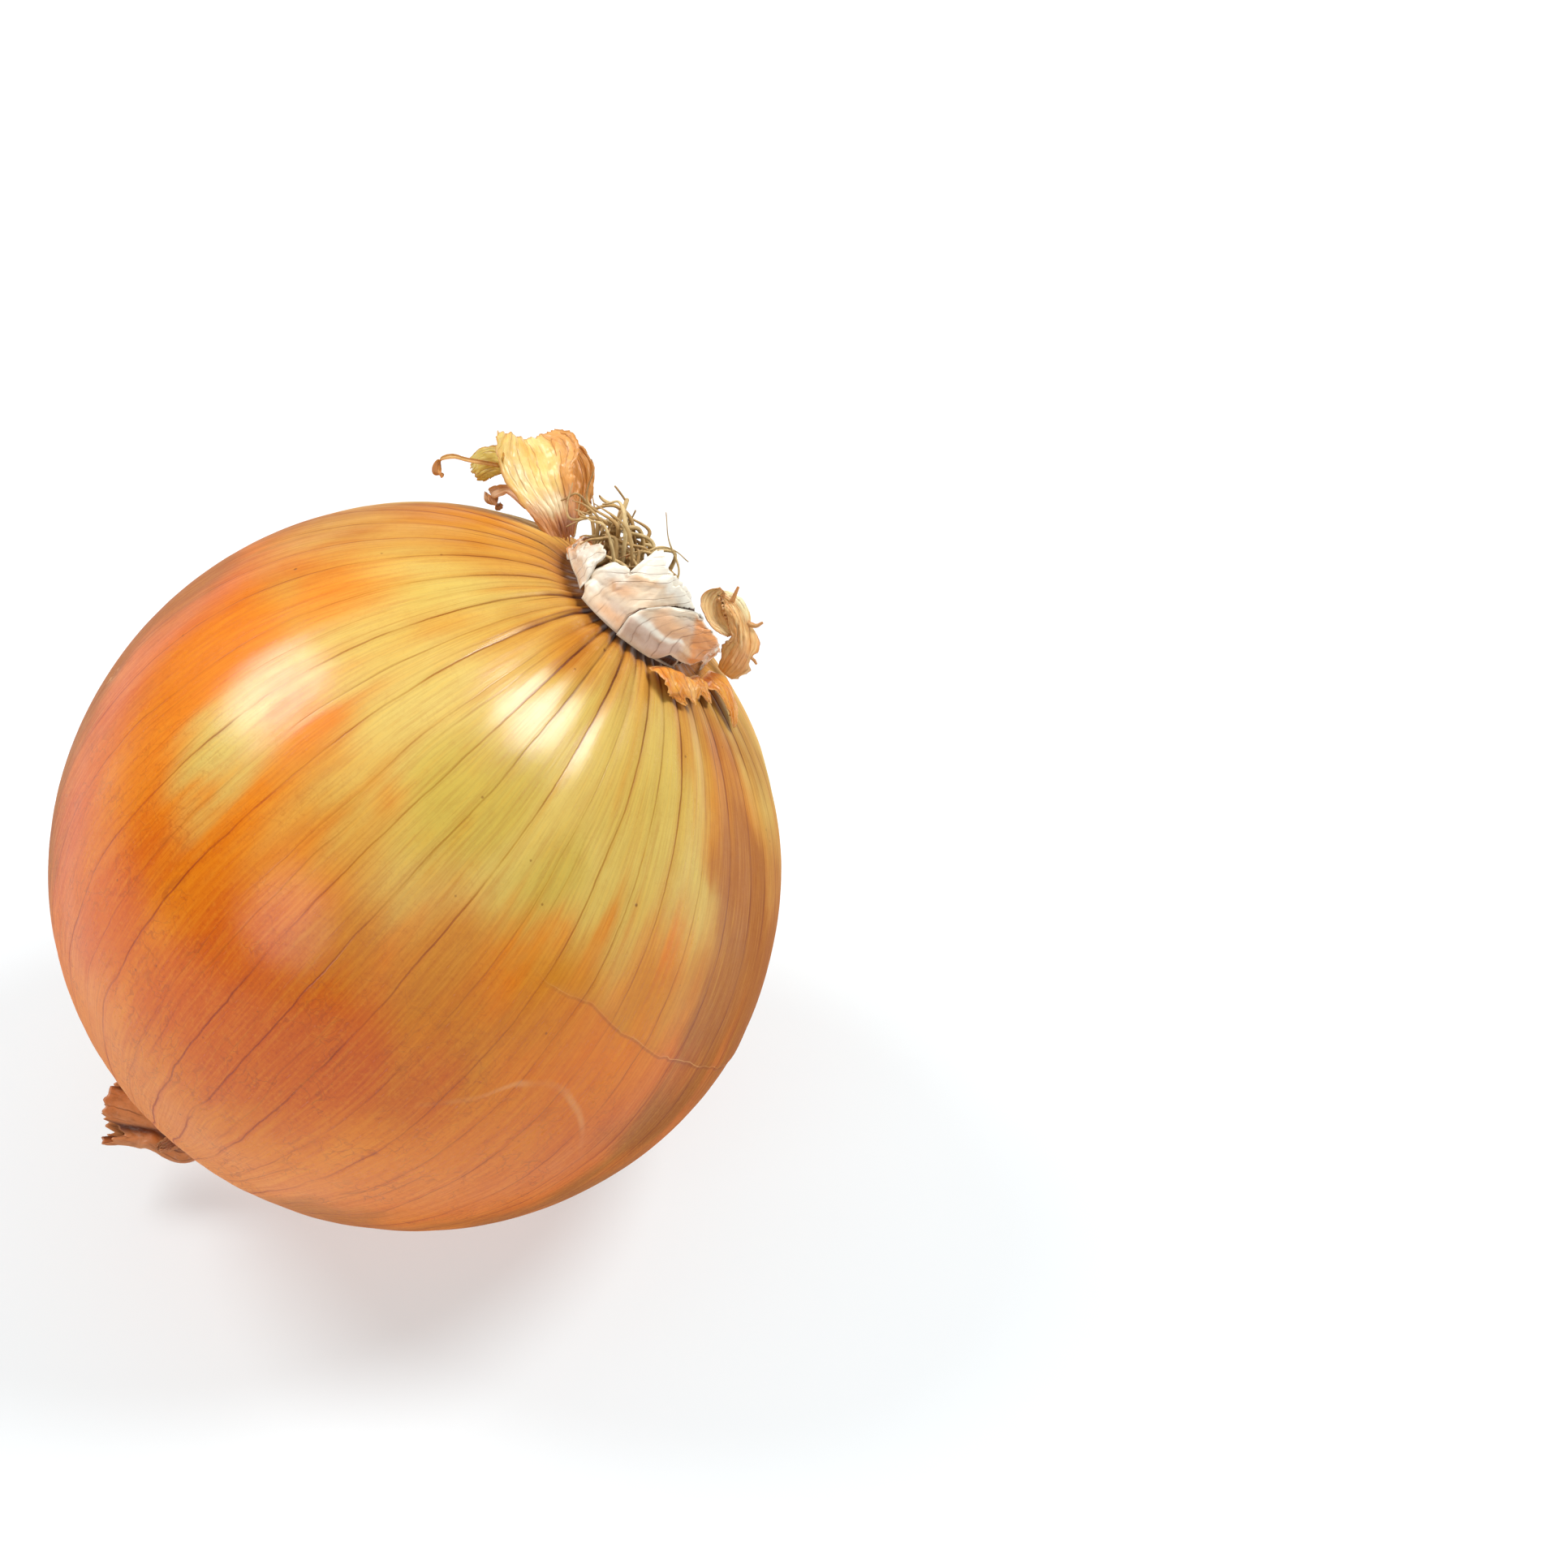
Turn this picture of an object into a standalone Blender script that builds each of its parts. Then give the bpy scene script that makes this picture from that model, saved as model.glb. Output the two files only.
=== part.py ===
"""A yellow bulb onion lying on its side: metres, +Z up, resting on z = 0.

The bulb is one grown solid. Its root end points up and to the right, with a torn papery collar,
loose flaps of dry skin and a tuft of dry roots. Its neck end points down and to the left and
carries the withered stump of the leaves. The origin is the middle of the small flat spot that
the bulb rests on.
"""

import math

import bmesh
import bpy
import numpy as np
from mathutils import Matrix, Vector

MM = 0.001

# Driving dimensions
BULB_RADIUS = 42.5 * MM
REST_SPOT_RADIUS = 7.0 * MM
ROOT_END_ELEVATION = math.radians(47.2)  # of the root end above the table
ROOT_END_HEADING = math.radians(23.4)  # from +X towards +Y
NECK_BOSS_HEIGHT = 1.6 * MM
NECK_BOSS_RADIUS = 3.4 * MM
ROOT_PLATE_RECESS = 0.8 * MM
COLLAR_FOOT_RADIUS = 10.4 * MM
COLLAR_MOUTH_RADIUS = 8.4 * MM
SKIN_THICKNESS = 0.45 * MM
ROOT_COUNT = 14
ROOT_PLATE_RADIUS = 5.6 * MM
ROOT_RADIUS = 0.27 * MM
GAP = 0.35 * MM

BULB_SEGMENTS, BULB_RINGS = 56, 36

# The bulb's own frame: FRONT faces the viewer's side, SIDE runs down its right, ROOT_END is the axis
ROOT_END = Vector(
    (
        math.cos(ROOT_END_ELEVATION) * math.cos(ROOT_END_HEADING),
        math.cos(ROOT_END_ELEVATION) * math.sin(ROOT_END_HEADING),
        math.sin(ROOT_END_ELEVATION),
    )
)
LOOK = Vector((0.0, -1.0, 1.0)).normalized()
FRONT = (LOOK - ROOT_END * LOOK.dot(ROOT_END)).normalized()
SIDE = ROOT_END.cross(FRONT)

# The leaning frame that the loose skins are laid out in: to the right, up the slope, and out of it
RIGHT = Vector((1.0, 0.0, 0.0))
SLOPE = Vector((0.0, 1.0, 1.0)).normalized()


def ramp(x, low, high):
    """0 below low, 1 above high, smooth between them."""
    t = min(max((x - low) / (high - low), 0.0), 1.0)
    return t * t * (3.0 - 2.0 * t)


def hump(x, middle, width):
    return math.exp(-(((x - middle) / width) ** 2))


def bulb_radius(polar, around):
    """Distance from the bulb's middle to its skin: polar is measured from the root end, around from FRONT."""
    side = math.sin(around)
    radius = BULB_RADIUS
    radius *= 1.0 + 0.011 * side * hump(math.degrees(polar), 82.0, 34.0)
    radius *= 1.0 + 0.004 * math.sin(polar) ** 2 * math.cos(3.0 * around + 0.7)
    radius *= 1.0 - 0.016 * hump(math.degrees(polar), 168.0, 9.0)
    from_neck = (math.pi - polar) * BULB_RADIUS
    radius += NECK_BOSS_HEIGHT * (1.0 - ramp(from_neck, NECK_BOSS_RADIUS, 2.1 * NECK_BOSS_RADIUS))
    from_root = polar * BULB_RADIUS
    radius -= ROOT_PLATE_RECESS * (1.0 - ramp(from_root, ROOT_PLATE_RADIUS, 1.5 * ROOT_PLATE_RADIUS))
    return radius


def at(polar, around, lift=0.0):
    """The point of the skin in that direction, lifted off it by lift, from the bulb's middle."""
    out = (
        ROOT_END * math.cos(polar)
        + (FRONT * math.cos(around) + SIDE * math.sin(around)) * math.sin(polar)
    )
    return out * (bulb_radius(polar, around) + lift)


def laid(right, slope, out):
    """A point of the leaning frame, in millimetres from the bulb's middle."""
    return (RIGHT * right + SLOPE * slope + LOOK * out) * MM


def through(knots, t):
    """A smooth curve through evenly spaced knots, t from 0 to 1. It works on numbers and on vectors."""
    last = len(knots) - 1
    x = min(max(t, 0.0), 1.0) * last
    i = min(int(x), last - 1)
    f = x - i
    p1, p2 = knots[i], knots[i + 1]
    p0 = knots[i - 1] if i > 0 else p1 * 2.0 - p2
    p3 = knots[i + 2] if i + 2 <= last else p2 * 2.0 - p1
    return (
        p1 * 2.0
        + (p2 - p0) * f
        + (p0 * 2.0 - p1 * 5.0 + p2 * 4.0 - p3) * f * f
        + (p1 * 3.0 - p0 - p2 * 3.0 + p3) * f * f * f
    ) * 0.5


def clear_scene():
    for obj in list(bpy.data.objects):
        bpy.data.objects.remove(obj, do_unlink=True)


def material(name, colour, roughness):
    made = bpy.data.materials.new(name)
    made.use_nodes = True
    shader = made.node_tree.nodes["Principled BSDF"]
    shader.inputs["Base Color"].default_value = (*colour, 1.0)
    shader.inputs["Roughness"].default_value = roughness
    shader.inputs["Metallic"].default_value = 0.0
    return made


def add_mesh(name, bm, finish, parts):
    mesh = bpy.data.meshes.new(name)
    bm.to_mesh(mesh)
    bm.free()
    mesh.shade_smooth()
    mesh.materials.append(finish)
    obj = bpy.data.objects.new(name, mesh)
    parts.objects.link(obj)
    return obj


def make_bulb(finish, parts):
    """A sphere shaped by bulb_radius, with its underside cut flat. Returns the height of its middle."""
    bm = bmesh.new()
    bmesh.ops.create_uvsphere(bm, u_segments=BULB_SEGMENTS, v_segments=BULB_RINGS, radius=1.0)
    for vert in bm.verts:
        polar = math.acos(min(max(vert.co.z, -1.0), 1.0))
        around = math.atan2(vert.co.y, vert.co.x)
        vert.co = at(polar, around)
    sink = BULB_RADIUS - math.sqrt(BULB_RADIUS**2 - REST_SPOT_RADIUS**2)
    floor = min(vert.co.z for vert in bm.verts) + sink
    cut = bmesh.ops.bisect_plane(
        bm,
        geom=bm.verts[:] + bm.edges[:] + bm.faces[:],
        plane_co=(0.0, 0.0, floor),
        plane_no=(0.0, 0.0, -1.0),
        clear_outer=True,
    )
    rim = [item for item in cut["geom_cut"] if isinstance(item, bmesh.types.BMEdge)]
    bmesh.ops.contextual_create(bm, geom=rim)
    for vert in bm.verts:
        vert.co.z -= floor
    bmesh.ops.recalc_face_normals(bm, faces=bm.faces[:])
    bulb = add_mesh("bulb", bm, finish, parts)
    bulb.data.set_sharp_from_angle(angle=math.radians(35.0))
    return -floor


def make_sheet(name, finish, parts, surface, across, along, thickness=SKIN_THICKNESS):
    """A thin skin: a flat grid bent onto surface(u, v), u from -1 to 1 and v from 0 to 1, then thickened."""
    bm = bmesh.new()
    bmesh.ops.create_grid(bm, x_segments=across, y_segments=along, size=1.0)
    for vert in bm.verts:
        vert.co = surface(vert.co.x, 0.5 * (vert.co.y + 1.0))
    sheet = add_mesh(name, bm, finish, parts)
    sheet.location.z = MIDDLE_HEIGHT
    shell = sheet.modifiers.new("thickness", "SOLIDIFY")
    shell.thickness = thickness
    shell.offset = 0.0
    return sheet


def ribbon(spine, sides, half_widths, bends):
    """The surface of a strip along spine. sides are its width directions, bends its curl across, in radians."""

    def surface(u, v):
        point = through(spine, v)
        ahead = through(spine, min(v + 0.02, 1.0)) - through(spine, max(v - 0.02, 0.0))
        side = through(sides, v)
        side = (side - ahead * (side.dot(ahead) / ahead.length_squared)).normalized()
        lift = side.cross(ahead).normalized()
        width = through(half_widths, v) * MM
        bend = through(bends, v)
        if abs(bend) < 0.02:
            return point + side * (u * width)
        return point + (
            side * math.sin(u * bend) + lift * (1.0 - math.cos(u * bend))
        ) * (width / bend)

    return surface


def join(whole, pieces, guides):
    """Pieces of one torn skin that grow from each other, made one solid."""
    for piece in pieces:
        for collection in list(piece.users_collection):
            collection.objects.unlink(piece)
        guides.objects.link(piece)
        piece.hide_render = True
        piece.display_type = "WIRE"
        union = whole.modifiers.new("join_" + piece.name, "BOOLEAN")
        union.operation = "UNION"
        union.solver = "EXACT"
        union.object = piece


def make_collar_piece(name, finish, parts, start, end, heights, across, along, lean=1.0):
    """A stretch of the torn collar, from around = start to end, as high as heights say."""

    def surface(u, v):
        around = math.radians(start + (end - start) * 0.5 * (u + 1.0))
        foot_polar = math.asin(COLLAR_FOOT_RADIUS / BULB_RADIUS)
        foot = at(foot_polar, around, GAP + 0.15 * MM)
        out = FRONT * math.cos(around) + SIDE * math.sin(around)
        inward = (COLLAR_FOOT_RADIUS - COLLAR_MOUTH_RADIUS) * lean
        height = through(heights, 0.5 * (u + 1.0)) * MM
        return foot + ROOT_END * (height * v) - out * (inward * v * v)

    return make_sheet(name, finish, parts, surface, across, along)


def make_stump(name, finish, parts, spine, wide, radii_long, radii_short, segments, rings):
    """A closed stump along spine, oval in section: wide is the direction of its long half-width."""
    bm = bmesh.new()
    bmesh.ops.create_uvsphere(bm, u_segments=segments, v_segments=rings, radius=1.0)
    for vert in bm.verts:
        polar = math.acos(min(max(vert.co.z, -1.0), 1.0))
        around = math.atan2(vert.co.y, vert.co.x)
        fill = min(1.0, math.sin(polar) / math.sin(math.pi / rings) * 0.98)
        t = min(max((polar * rings / math.pi - 1.0) / (rings - 2.0), 0.0), 1.0)
        ahead = (through(spine, min(t + 0.05, 1.0)) - through(spine, max(t - 0.05, 0.0))).normalized()
        side = (wide - ahead * wide.dot(ahead)).normalized()
        up = ahead.cross(side)
        crease = 1.0 + 0.10 * t * math.cos(5.0 * around + 0.8)
        vert.co = (
            through(spine, t)
            + side * (through(radii_long, t) * MM * math.cos(around) * fill * crease)
            + up * (through(radii_short, t) * MM * math.sin(around) * fill * crease)
        )
    if bm.calc_volume(signed=True) < 0.0:
        bmesh.ops.reverse_faces(bm, faces=bm.faces[:])
    stump = add_mesh(name, bm, finish, parts)
    stump.location.z = MIDDLE_HEIGHT
    return stump


def make_strand(name, finish, parts, points, radius):
    """A dry fibre: a round tube with closed ends along points."""
    curve = bpy.data.curves.new(name, "CURVE")
    curve.dimensions = "3D"
    curve.bevel_depth = radius
    curve.bevel_resolution = 2
    curve.use_fill_caps = True
    spline = curve.splines.new("POLY")
    spline.points.add(len(points) - 1)
    for spot, point in zip(spline.points, points):
        spot.co = (*point, 1.0)
    curve.materials.append(finish)
    strand = bpy.data.objects.new(name, curve)
    strand.location.z = MIDDLE_HEIGHT
    parts.objects.link(strand)
    return strand


def root_points(number, steps=9):
    """A root rises from the root plate, then leans out over the low side of the collar with a slight curl."""
    spread = ROOT_PLATE_RADIUS * math.sqrt((number + 0.4) / ROOT_COUNT)
    around = number * math.radians(137.508) + 0.5
    length = (9.0 + 3.5 * math.sin(2.3 * number + 0.4)) * MM
    seat = at(spread / BULB_RADIUS, around, GAP + 0.1 * MM)
    out = FRONT * math.cos(around) + SIDE * math.sin(around)
    points = []
    for step in range(steps):
        t = step / (steps - 1)
        drift = t * t * (out * (0.25 * spread) - SIDE * 3.6 * MM - FRONT * 1.2 * MM)
        curl = 0.45 * MM * t * math.sin(5.0 * t + number)
        sway = 0.45 * MM * t * math.cos(4.0 * t + 1.7 * number)
        points.append(seat + ROOT_END * (length * t * (1.0 - 0.25 * t)) + drift + FRONT * curl + SIDE * sway)
    return points


clear_scene()
onion = bpy.data.collections.new("onion")
bpy.context.scene.collection.children.link(onion)
guides = bpy.data.collections.new("guides")
bpy.context.scene.collection.children.link(guides)

bulb_skin = material("bulb_skin", (0.80, 0.42, 0.12), 0.33)
neck_skin = material("neck_skin", (0.42, 0.17, 0.05), 0.6)
ivory_skin = material("ivory_skin", (0.80, 0.68, 0.56), 0.5)
golden_skin = material("golden_skin", (0.82, 0.50, 0.20), 0.4)
orange_skin = material("orange_skin", (0.78, 0.36, 0.10), 0.42)
root_fibre = material("root_fibre", (0.36, 0.25, 0.12), 0.7)

MIDDLE_HEIGHT = make_bulb(bulb_skin, onion)

# The withered neck, flattened and bent to the left
neck_seat = at(math.pi, 0.0, GAP + 0.1 * MM)
make_stump(
    "dried_neck",
    neck_skin,
    onion,
    spine=[
        neck_seat,
        neck_seat - ROOT_END * (1.8 * MM) + laid(-0.3, 0.2, 0.0),
        neck_seat - ROOT_END * (3.4 * MM) + laid(-2.3, 1.2, 0.1),
        neck_seat - ROOT_END * (4.4 * MM) + laid(-5.4, 2.7, 0.4),
    ],
    wide=laid(-0.55, 0.80, -0.22),
    radii_long=[3.0, 3.2, 3.7, 4.5],
    radii_short=[2.9, 2.4, 1.9, 1.7],
    segments=20,
    rings=12,
)
make_sheet(
    "neck_shred",
    neck_skin,
    onion,
    ribbon(
        spine=[laid(-28.2, -31.5, -8.2), laid(-29.6, -32.9, -8.6), laid(-31.0, -33.8, -9.6)],
        sides=[laid(-0.6, 0.2, -0.7), laid(-0.6, 0.3, -0.6), laid(-0.5, 0.4, -0.6)],
        half_widths=[0.8, 0.9, 0.5],
        bends=[0.9, 0.9, 0.7],
    ),
    across=4,
    along=6,
)

# The ivory collar round the roots, open at its left, and the lobe split from it
make_collar_piece(
    "root_collar",
    ivory_skin,
    onion,
    start=-34.0,
    end=222.0,
    heights=[2.8, 6.4, 8.8, 7.4, 6.0, 3.8, 1.8, 1.8, 1.9, 2.1, 2.4, 2.1],
    across=34,
    along=4,
)
make_collar_piece(
    "collar_lobe",
    ivory_skin,
    onion,
    start=-78.0,
    end=-41.0,
    heights=[2.6, 4.6, 5.2, 4.0],
    across=7,
    along=3,
    lean=0.3,
)

# The large flap that stands up at the left of the root end, with the lobe, the tendril and the small
# curl that are torn from the same skin
flap_surface = ribbon(
    spine=[
        laid(18.0, 38.9, 8.0),
        laid(17.1, 41.8, 9.0),
        laid(15.4, 45.2, 8.8),
        laid(14.4, 47.9, 7.2),
        laid(12.8, 50.4, 4.8),
    ],
    sides=[
        laid(0.88, 0.48, 0.1),
        laid(0.95, 0.32, 0.0),
        laid(1.0, 0.1, -0.12),
        laid(1.0, 0.0, -0.2),
        laid(0.97, -0.1, -0.25),
    ],
    half_widths=[1.5, 2.6, 4.2, 5.2, 2.6],
    bends=[0.8, 0.7, 0.7, 0.8, 0.8],
)
lobe_surface = ribbon(
    spine=[flap_surface(-0.86, 0.62), laid(8.7, 46.1, 6.9), laid(7.2, 45.8, 5.0)],
    sides=[laid(0.1, 1.0, 0.2), laid(0.0, 1.0, 0.1), laid(-0.1, 1.0, -0.1)],
    half_widths=[1.5, 1.9, 1.6],
    bends=[0.4, 0.6, 0.7],
)
tendril_surface = ribbon(
    spine=[
        lobe_surface(0.1, 0.3),
        laid(6.7, 46.9, 8.4),
        laid(5.0, 47.2, 8.8),
        laid(3.6, 46.8, 8.8),
        laid(3.2, 45.6, 8.6),
        laid(4.0, 45.0, 8.4),
    ],
    sides=[
        laid(0.3, 1.0, 0.0),
        laid(0.0, 1.0, 0.2),
        laid(0.0, 1.0, 0.4),
        laid(-0.6, 0.6, 0.6),
        laid(-0.9, 0.0, 0.6),
        laid(-0.4, -0.6, 0.7),
    ],
    half_widths=[0.35, 0.3, 0.3, 0.4, 0.45, 0.3],
    bends=[0.3, 0.3, 0.3, 0.3, 0.3, 0.3],
)
shred_surface = ribbon(
    spine=[flap_surface(-0.8, 0.34), laid(11.4, 43.0, 7.6), laid(10.4, 42.8, 7.8), laid(10.6, 41.4, 7.8)],
    sides=[laid(0.3, 0.6, 0.7), laid(0.2, 0.7, 0.7), laid(0.5, 0.3, 0.8), laid(0.7, 0.0, 0.7)],
    half_widths=[0.6, 0.6, 0.6, 0.4],
    bends=[0.5, 0.5, 0.5, 0.5],
)
large_flap = make_sheet("skin_flap_large", golden_skin, onion, flap_surface, across=8, along=10)
join(
    large_flap,
    [
        make_sheet("flap_lobe", golden_skin, onion, lobe_surface, across=5, along=5),
        make_sheet("flap_tendril", golden_skin, onion, tendril_surface, across=2, along=14),
        make_sheet("flap_shred", golden_skin, onion, shred_surface, across=3, along=8),
    ],
    guides,
)

# The ribbon of skin that curls over at the right of the root end
make_sheet(
    "skin_curl_right",
    orange_skin,
    onion,
    ribbon(
        spine=[
            laid(36.25, 22.25, 9.0),
            laid(37.5, 24.2, 9.6),
            laid(38.3, 26.8, 10.0),
            laid(37.7, 29.6, 10.3),
            laid(36.2, 31.6, 10.0),
            laid(34.9, 30.2, 9.8),
        ],
        sides=[
            laid(0.87, -0.49, 0.15),
            laid(0.9, -0.4, 0.1),
            laid(0.98, 0.0, 0.0),
            laid(0.8, 0.5, 0.1),
            laid(0.2, 0.9, 0.4),
            laid(-0.5, 0.5, 0.7),
        ],
        half_widths=[1.1, 1.9, 1.7, 1.5, 1.1, 0.6],
        bends=[0.5, 0.6, 0.7, 0.6, 0.5, 0.4],
    ),
    across=5,
    along=16,
)

# Two torn flaps that lie against the bulb under the collar
make_sheet(
    "skin_flap_lower_left",
    orange_skin,
    onion,
    ribbon(
        spine=[
            at(math.radians(15.6), math.radians(44.0), 0.9 * MM),
            at(math.radians(17.6), math.radians(46.0), 1.2 * MM),
            at(math.radians(20.2), math.radians(50.0), 1.7 * MM),
        ],
        sides=[SIDE * 0.75 - FRONT * 0.6, SIDE * 0.7 - FRONT * 0.65, SIDE * 0.65 - FRONT * 0.7],
        half_widths=[2.6, 2.4, 1.2],
        bends=[-0.25, -0.3, -0.3],
    ),
    across=6,
    along=5,
)
make_sheet(
    "skin_flap_lower_right",
    orange_skin,
    onion,
    ribbon(
        spine=[
            at(math.radians(16.0), math.radians(88.0), 1.0 * MM),
            at(math.radians(18.6), math.radians(89.0), 1.4 * MM),
            at(math.radians(22.4), math.radians(87.0), 1.1 * MM),
        ],
        sides=[-FRONT, -FRONT, -FRONT],
        half_widths=[1.9, 1.6, 0.6],
        bends=[-0.3, -0.3, -0.3],
    ),
    across=5,
    along=6,
)

for number in range(ROOT_COUNT):
    make_strand("root_%02d" % (number + 1), root_fibre, onion, root_points(number), ROOT_RADIUS)
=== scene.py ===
import math

import bpy
import numpy as np
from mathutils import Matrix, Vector


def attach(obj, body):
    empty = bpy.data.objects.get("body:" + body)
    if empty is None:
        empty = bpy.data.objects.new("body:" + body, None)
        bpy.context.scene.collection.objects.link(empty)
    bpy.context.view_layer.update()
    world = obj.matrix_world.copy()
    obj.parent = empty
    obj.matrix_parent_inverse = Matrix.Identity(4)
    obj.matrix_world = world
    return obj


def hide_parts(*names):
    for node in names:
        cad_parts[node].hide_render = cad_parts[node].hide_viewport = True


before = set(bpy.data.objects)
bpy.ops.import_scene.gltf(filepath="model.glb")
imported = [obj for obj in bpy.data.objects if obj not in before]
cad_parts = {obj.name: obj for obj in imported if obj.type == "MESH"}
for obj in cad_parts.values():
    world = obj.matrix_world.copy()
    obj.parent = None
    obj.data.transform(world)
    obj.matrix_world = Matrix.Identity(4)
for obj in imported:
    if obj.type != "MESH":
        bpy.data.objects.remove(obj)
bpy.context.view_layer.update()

MM = 0.001
ROOT_BODY = "root"

# ---------------------------------------------------------------------------------------------
# The onion's own frame, the same as the solids': AXIS points out of the root end, FRONT faces the
# viewer's side and SIDE runs down its right. The leaning frame RIGHT, SLOPE, LOOK lays out skins.
# ---------------------------------------------------------------------------------------------
BULB_RADIUS = 42.5 * MM
REST_SPOT_RADIUS = 7.0 * MM
ELEVATION, HEADING = math.radians(47.2), math.radians(23.4)
NECK_BOSS_HEIGHT, NECK_BOSS_RADIUS = 1.6 * MM, 3.4 * MM
ROOT_PLATE_RECESS, ROOT_PLATE_RADIUS = 0.8 * MM, 5.6 * MM
COLLAR_FOOT_RADIUS, COLLAR_MOUTH_RADIUS = 10.4 * MM, 8.4 * MM


def unit(v):
    v = np.asarray(v, float)
    return v / np.linalg.norm(v, axis=-1, keepdims=True)


AXIS = np.array(
    [math.cos(ELEVATION) * math.cos(HEADING), math.cos(ELEVATION) * math.sin(HEADING), math.sin(ELEVATION)]
)
RIGHT = np.array([1.0, 0.0, 0.0])
SLOPE = unit([0.0, 1.0, 1.0])
LOOK = unit([0.0, -1.0, 1.0])
FRONT = unit(LOOK - AXIS * LOOK.dot(AXIS))
SIDE = np.cross(AXIS, FRONT)


def ramp(x, low, high):
    t = np.clip((np.asarray(x, float) - low) / (high - low), 0.0, 1.0)
    return t * t * (3.0 - 2.0 * t)


def hump(x, middle, width):
    return np.exp(-(((np.asarray(x, float) - middle) / width) ** 2))


def smooth_noise(u, v, cells_u, cells_v, seed):
    """Soft noise in -1..1, periodic in u over 0..1, with cells_u by cells_v lattice cells."""
    rng = np.random.default_rng(seed)
    table = rng.uniform(-1.0, 1.0, (cells_v + 2, cells_u))
    x = (np.asarray(u, float) % 1.0) * cells_u
    y = np.clip(np.asarray(v, float), 0.0, 1.0) * cells_v
    i, j = np.floor(x).astype(int), np.floor(y).astype(int)
    fx, fy = x - i, y - j
    fx, fy = fx * fx * (3 - 2 * fx), fy * fy * (3 - 2 * fy)
    i0, i1 = i % cells_u, (i + 1) % cells_u
    low = table[j, i0] * (1 - fx) + table[j, i1] * fx
    high = table[j + 1, i0] * (1 - fx) + table[j + 1, i1] * fx
    return low * (1 - fy) + high * fy


def through(knots, t):
    """A smooth curve through evenly spaced knots, for an array of t from 0 to 1."""
    knots = np.asarray(knots, float)
    flat = knots.ndim == 1
    if flat:
        knots = knots[:, None]
    last = len(knots) - 1
    t = np.clip(np.asarray(t, float), 0.0, 1.0)
    x = t * last
    i = np.minimum(x.astype(int), last - 1)
    f = (x - i)[..., None]
    padded = np.concatenate([[2 * knots[0] - knots[1]], knots, [2 * knots[-1] - knots[-2]]])
    p0, p1, p2, p3 = padded[i], padded[i + 1], padded[i + 2], padded[i + 3]
    out = 0.5 * (2 * p1 + (p2 - p0) * f + (2 * p0 - 5 * p1 + 4 * p2 - p3) * f**2 + (3 * p1 - p0 - 3 * p2 + p3) * f**3)
    return out[..., 0] if flat else out


def bulb_radius(polar, around):
    """The solids' own skin radius."""
    radius = BULB_RADIUS * (1.0 + 0.011 * np.sin(around) * hump(np.degrees(polar), 82.0, 34.0))
    radius = radius * (1.0 + 0.004 * np.sin(polar) ** 2 * np.cos(3.0 * around + 0.7))
    radius = radius * (1.0 - 0.016 * hump(np.degrees(polar), 168.0, 9.0))
    from_neck = (math.pi - polar) * BULB_RADIUS
    radius = radius + NECK_BOSS_HEIGHT * (1.0 - ramp(from_neck, NECK_BOSS_RADIUS, 2.1 * NECK_BOSS_RADIUS))
    from_root = polar * BULB_RADIUS
    return radius - ROOT_PLATE_RECESS * (1.0 - ramp(from_root, ROOT_PLATE_RADIUS, 1.5 * ROOT_PLATE_RADIUS))


def outward(polar, around):
    polar, around = np.asarray(polar, float)[..., None], np.asarray(around, float)[..., None]
    return AXIS * np.cos(polar) + (FRONT * np.cos(around) + SIDE * np.sin(around)) * np.sin(polar)


def middle_height():
    polar = np.pi * np.arange(37)[:, None] / 36.0
    around = 2.0 * np.pi * np.arange(56)[None, :] / 56.0
    polar, around = np.broadcast_arrays(polar, around)
    low = (outward(polar, around) * bulb_radius(polar, around)[..., None])[..., 2].min()
    return -(low + BULB_RADIUS - math.sqrt(BULB_RADIUS**2 - REST_SPOT_RADIUS**2))


MIDDLE = np.array([0.0, 0.0, middle_height()])


def at(polar, around, lift=0.0):
    """World point of the skin, polar and around in degrees, lift in millimetres."""
    polar, around = np.radians(polar), np.radians(around)
    return MIDDLE + outward(polar, around) * (bulb_radius(polar, around) + np.asarray(lift) * MM)[..., None]


def laid(right, slope, out):
    """World point of the leaning frame, in millimetres from the bulb's middle."""
    return MIDDLE + (RIGHT * right + SLOPE * slope + LOOK * out) * MM


def lean(right, slope, out):
    """World direction of the leaning frame."""
    return RIGHT * right + SLOPE * slope + LOOK * out


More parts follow.
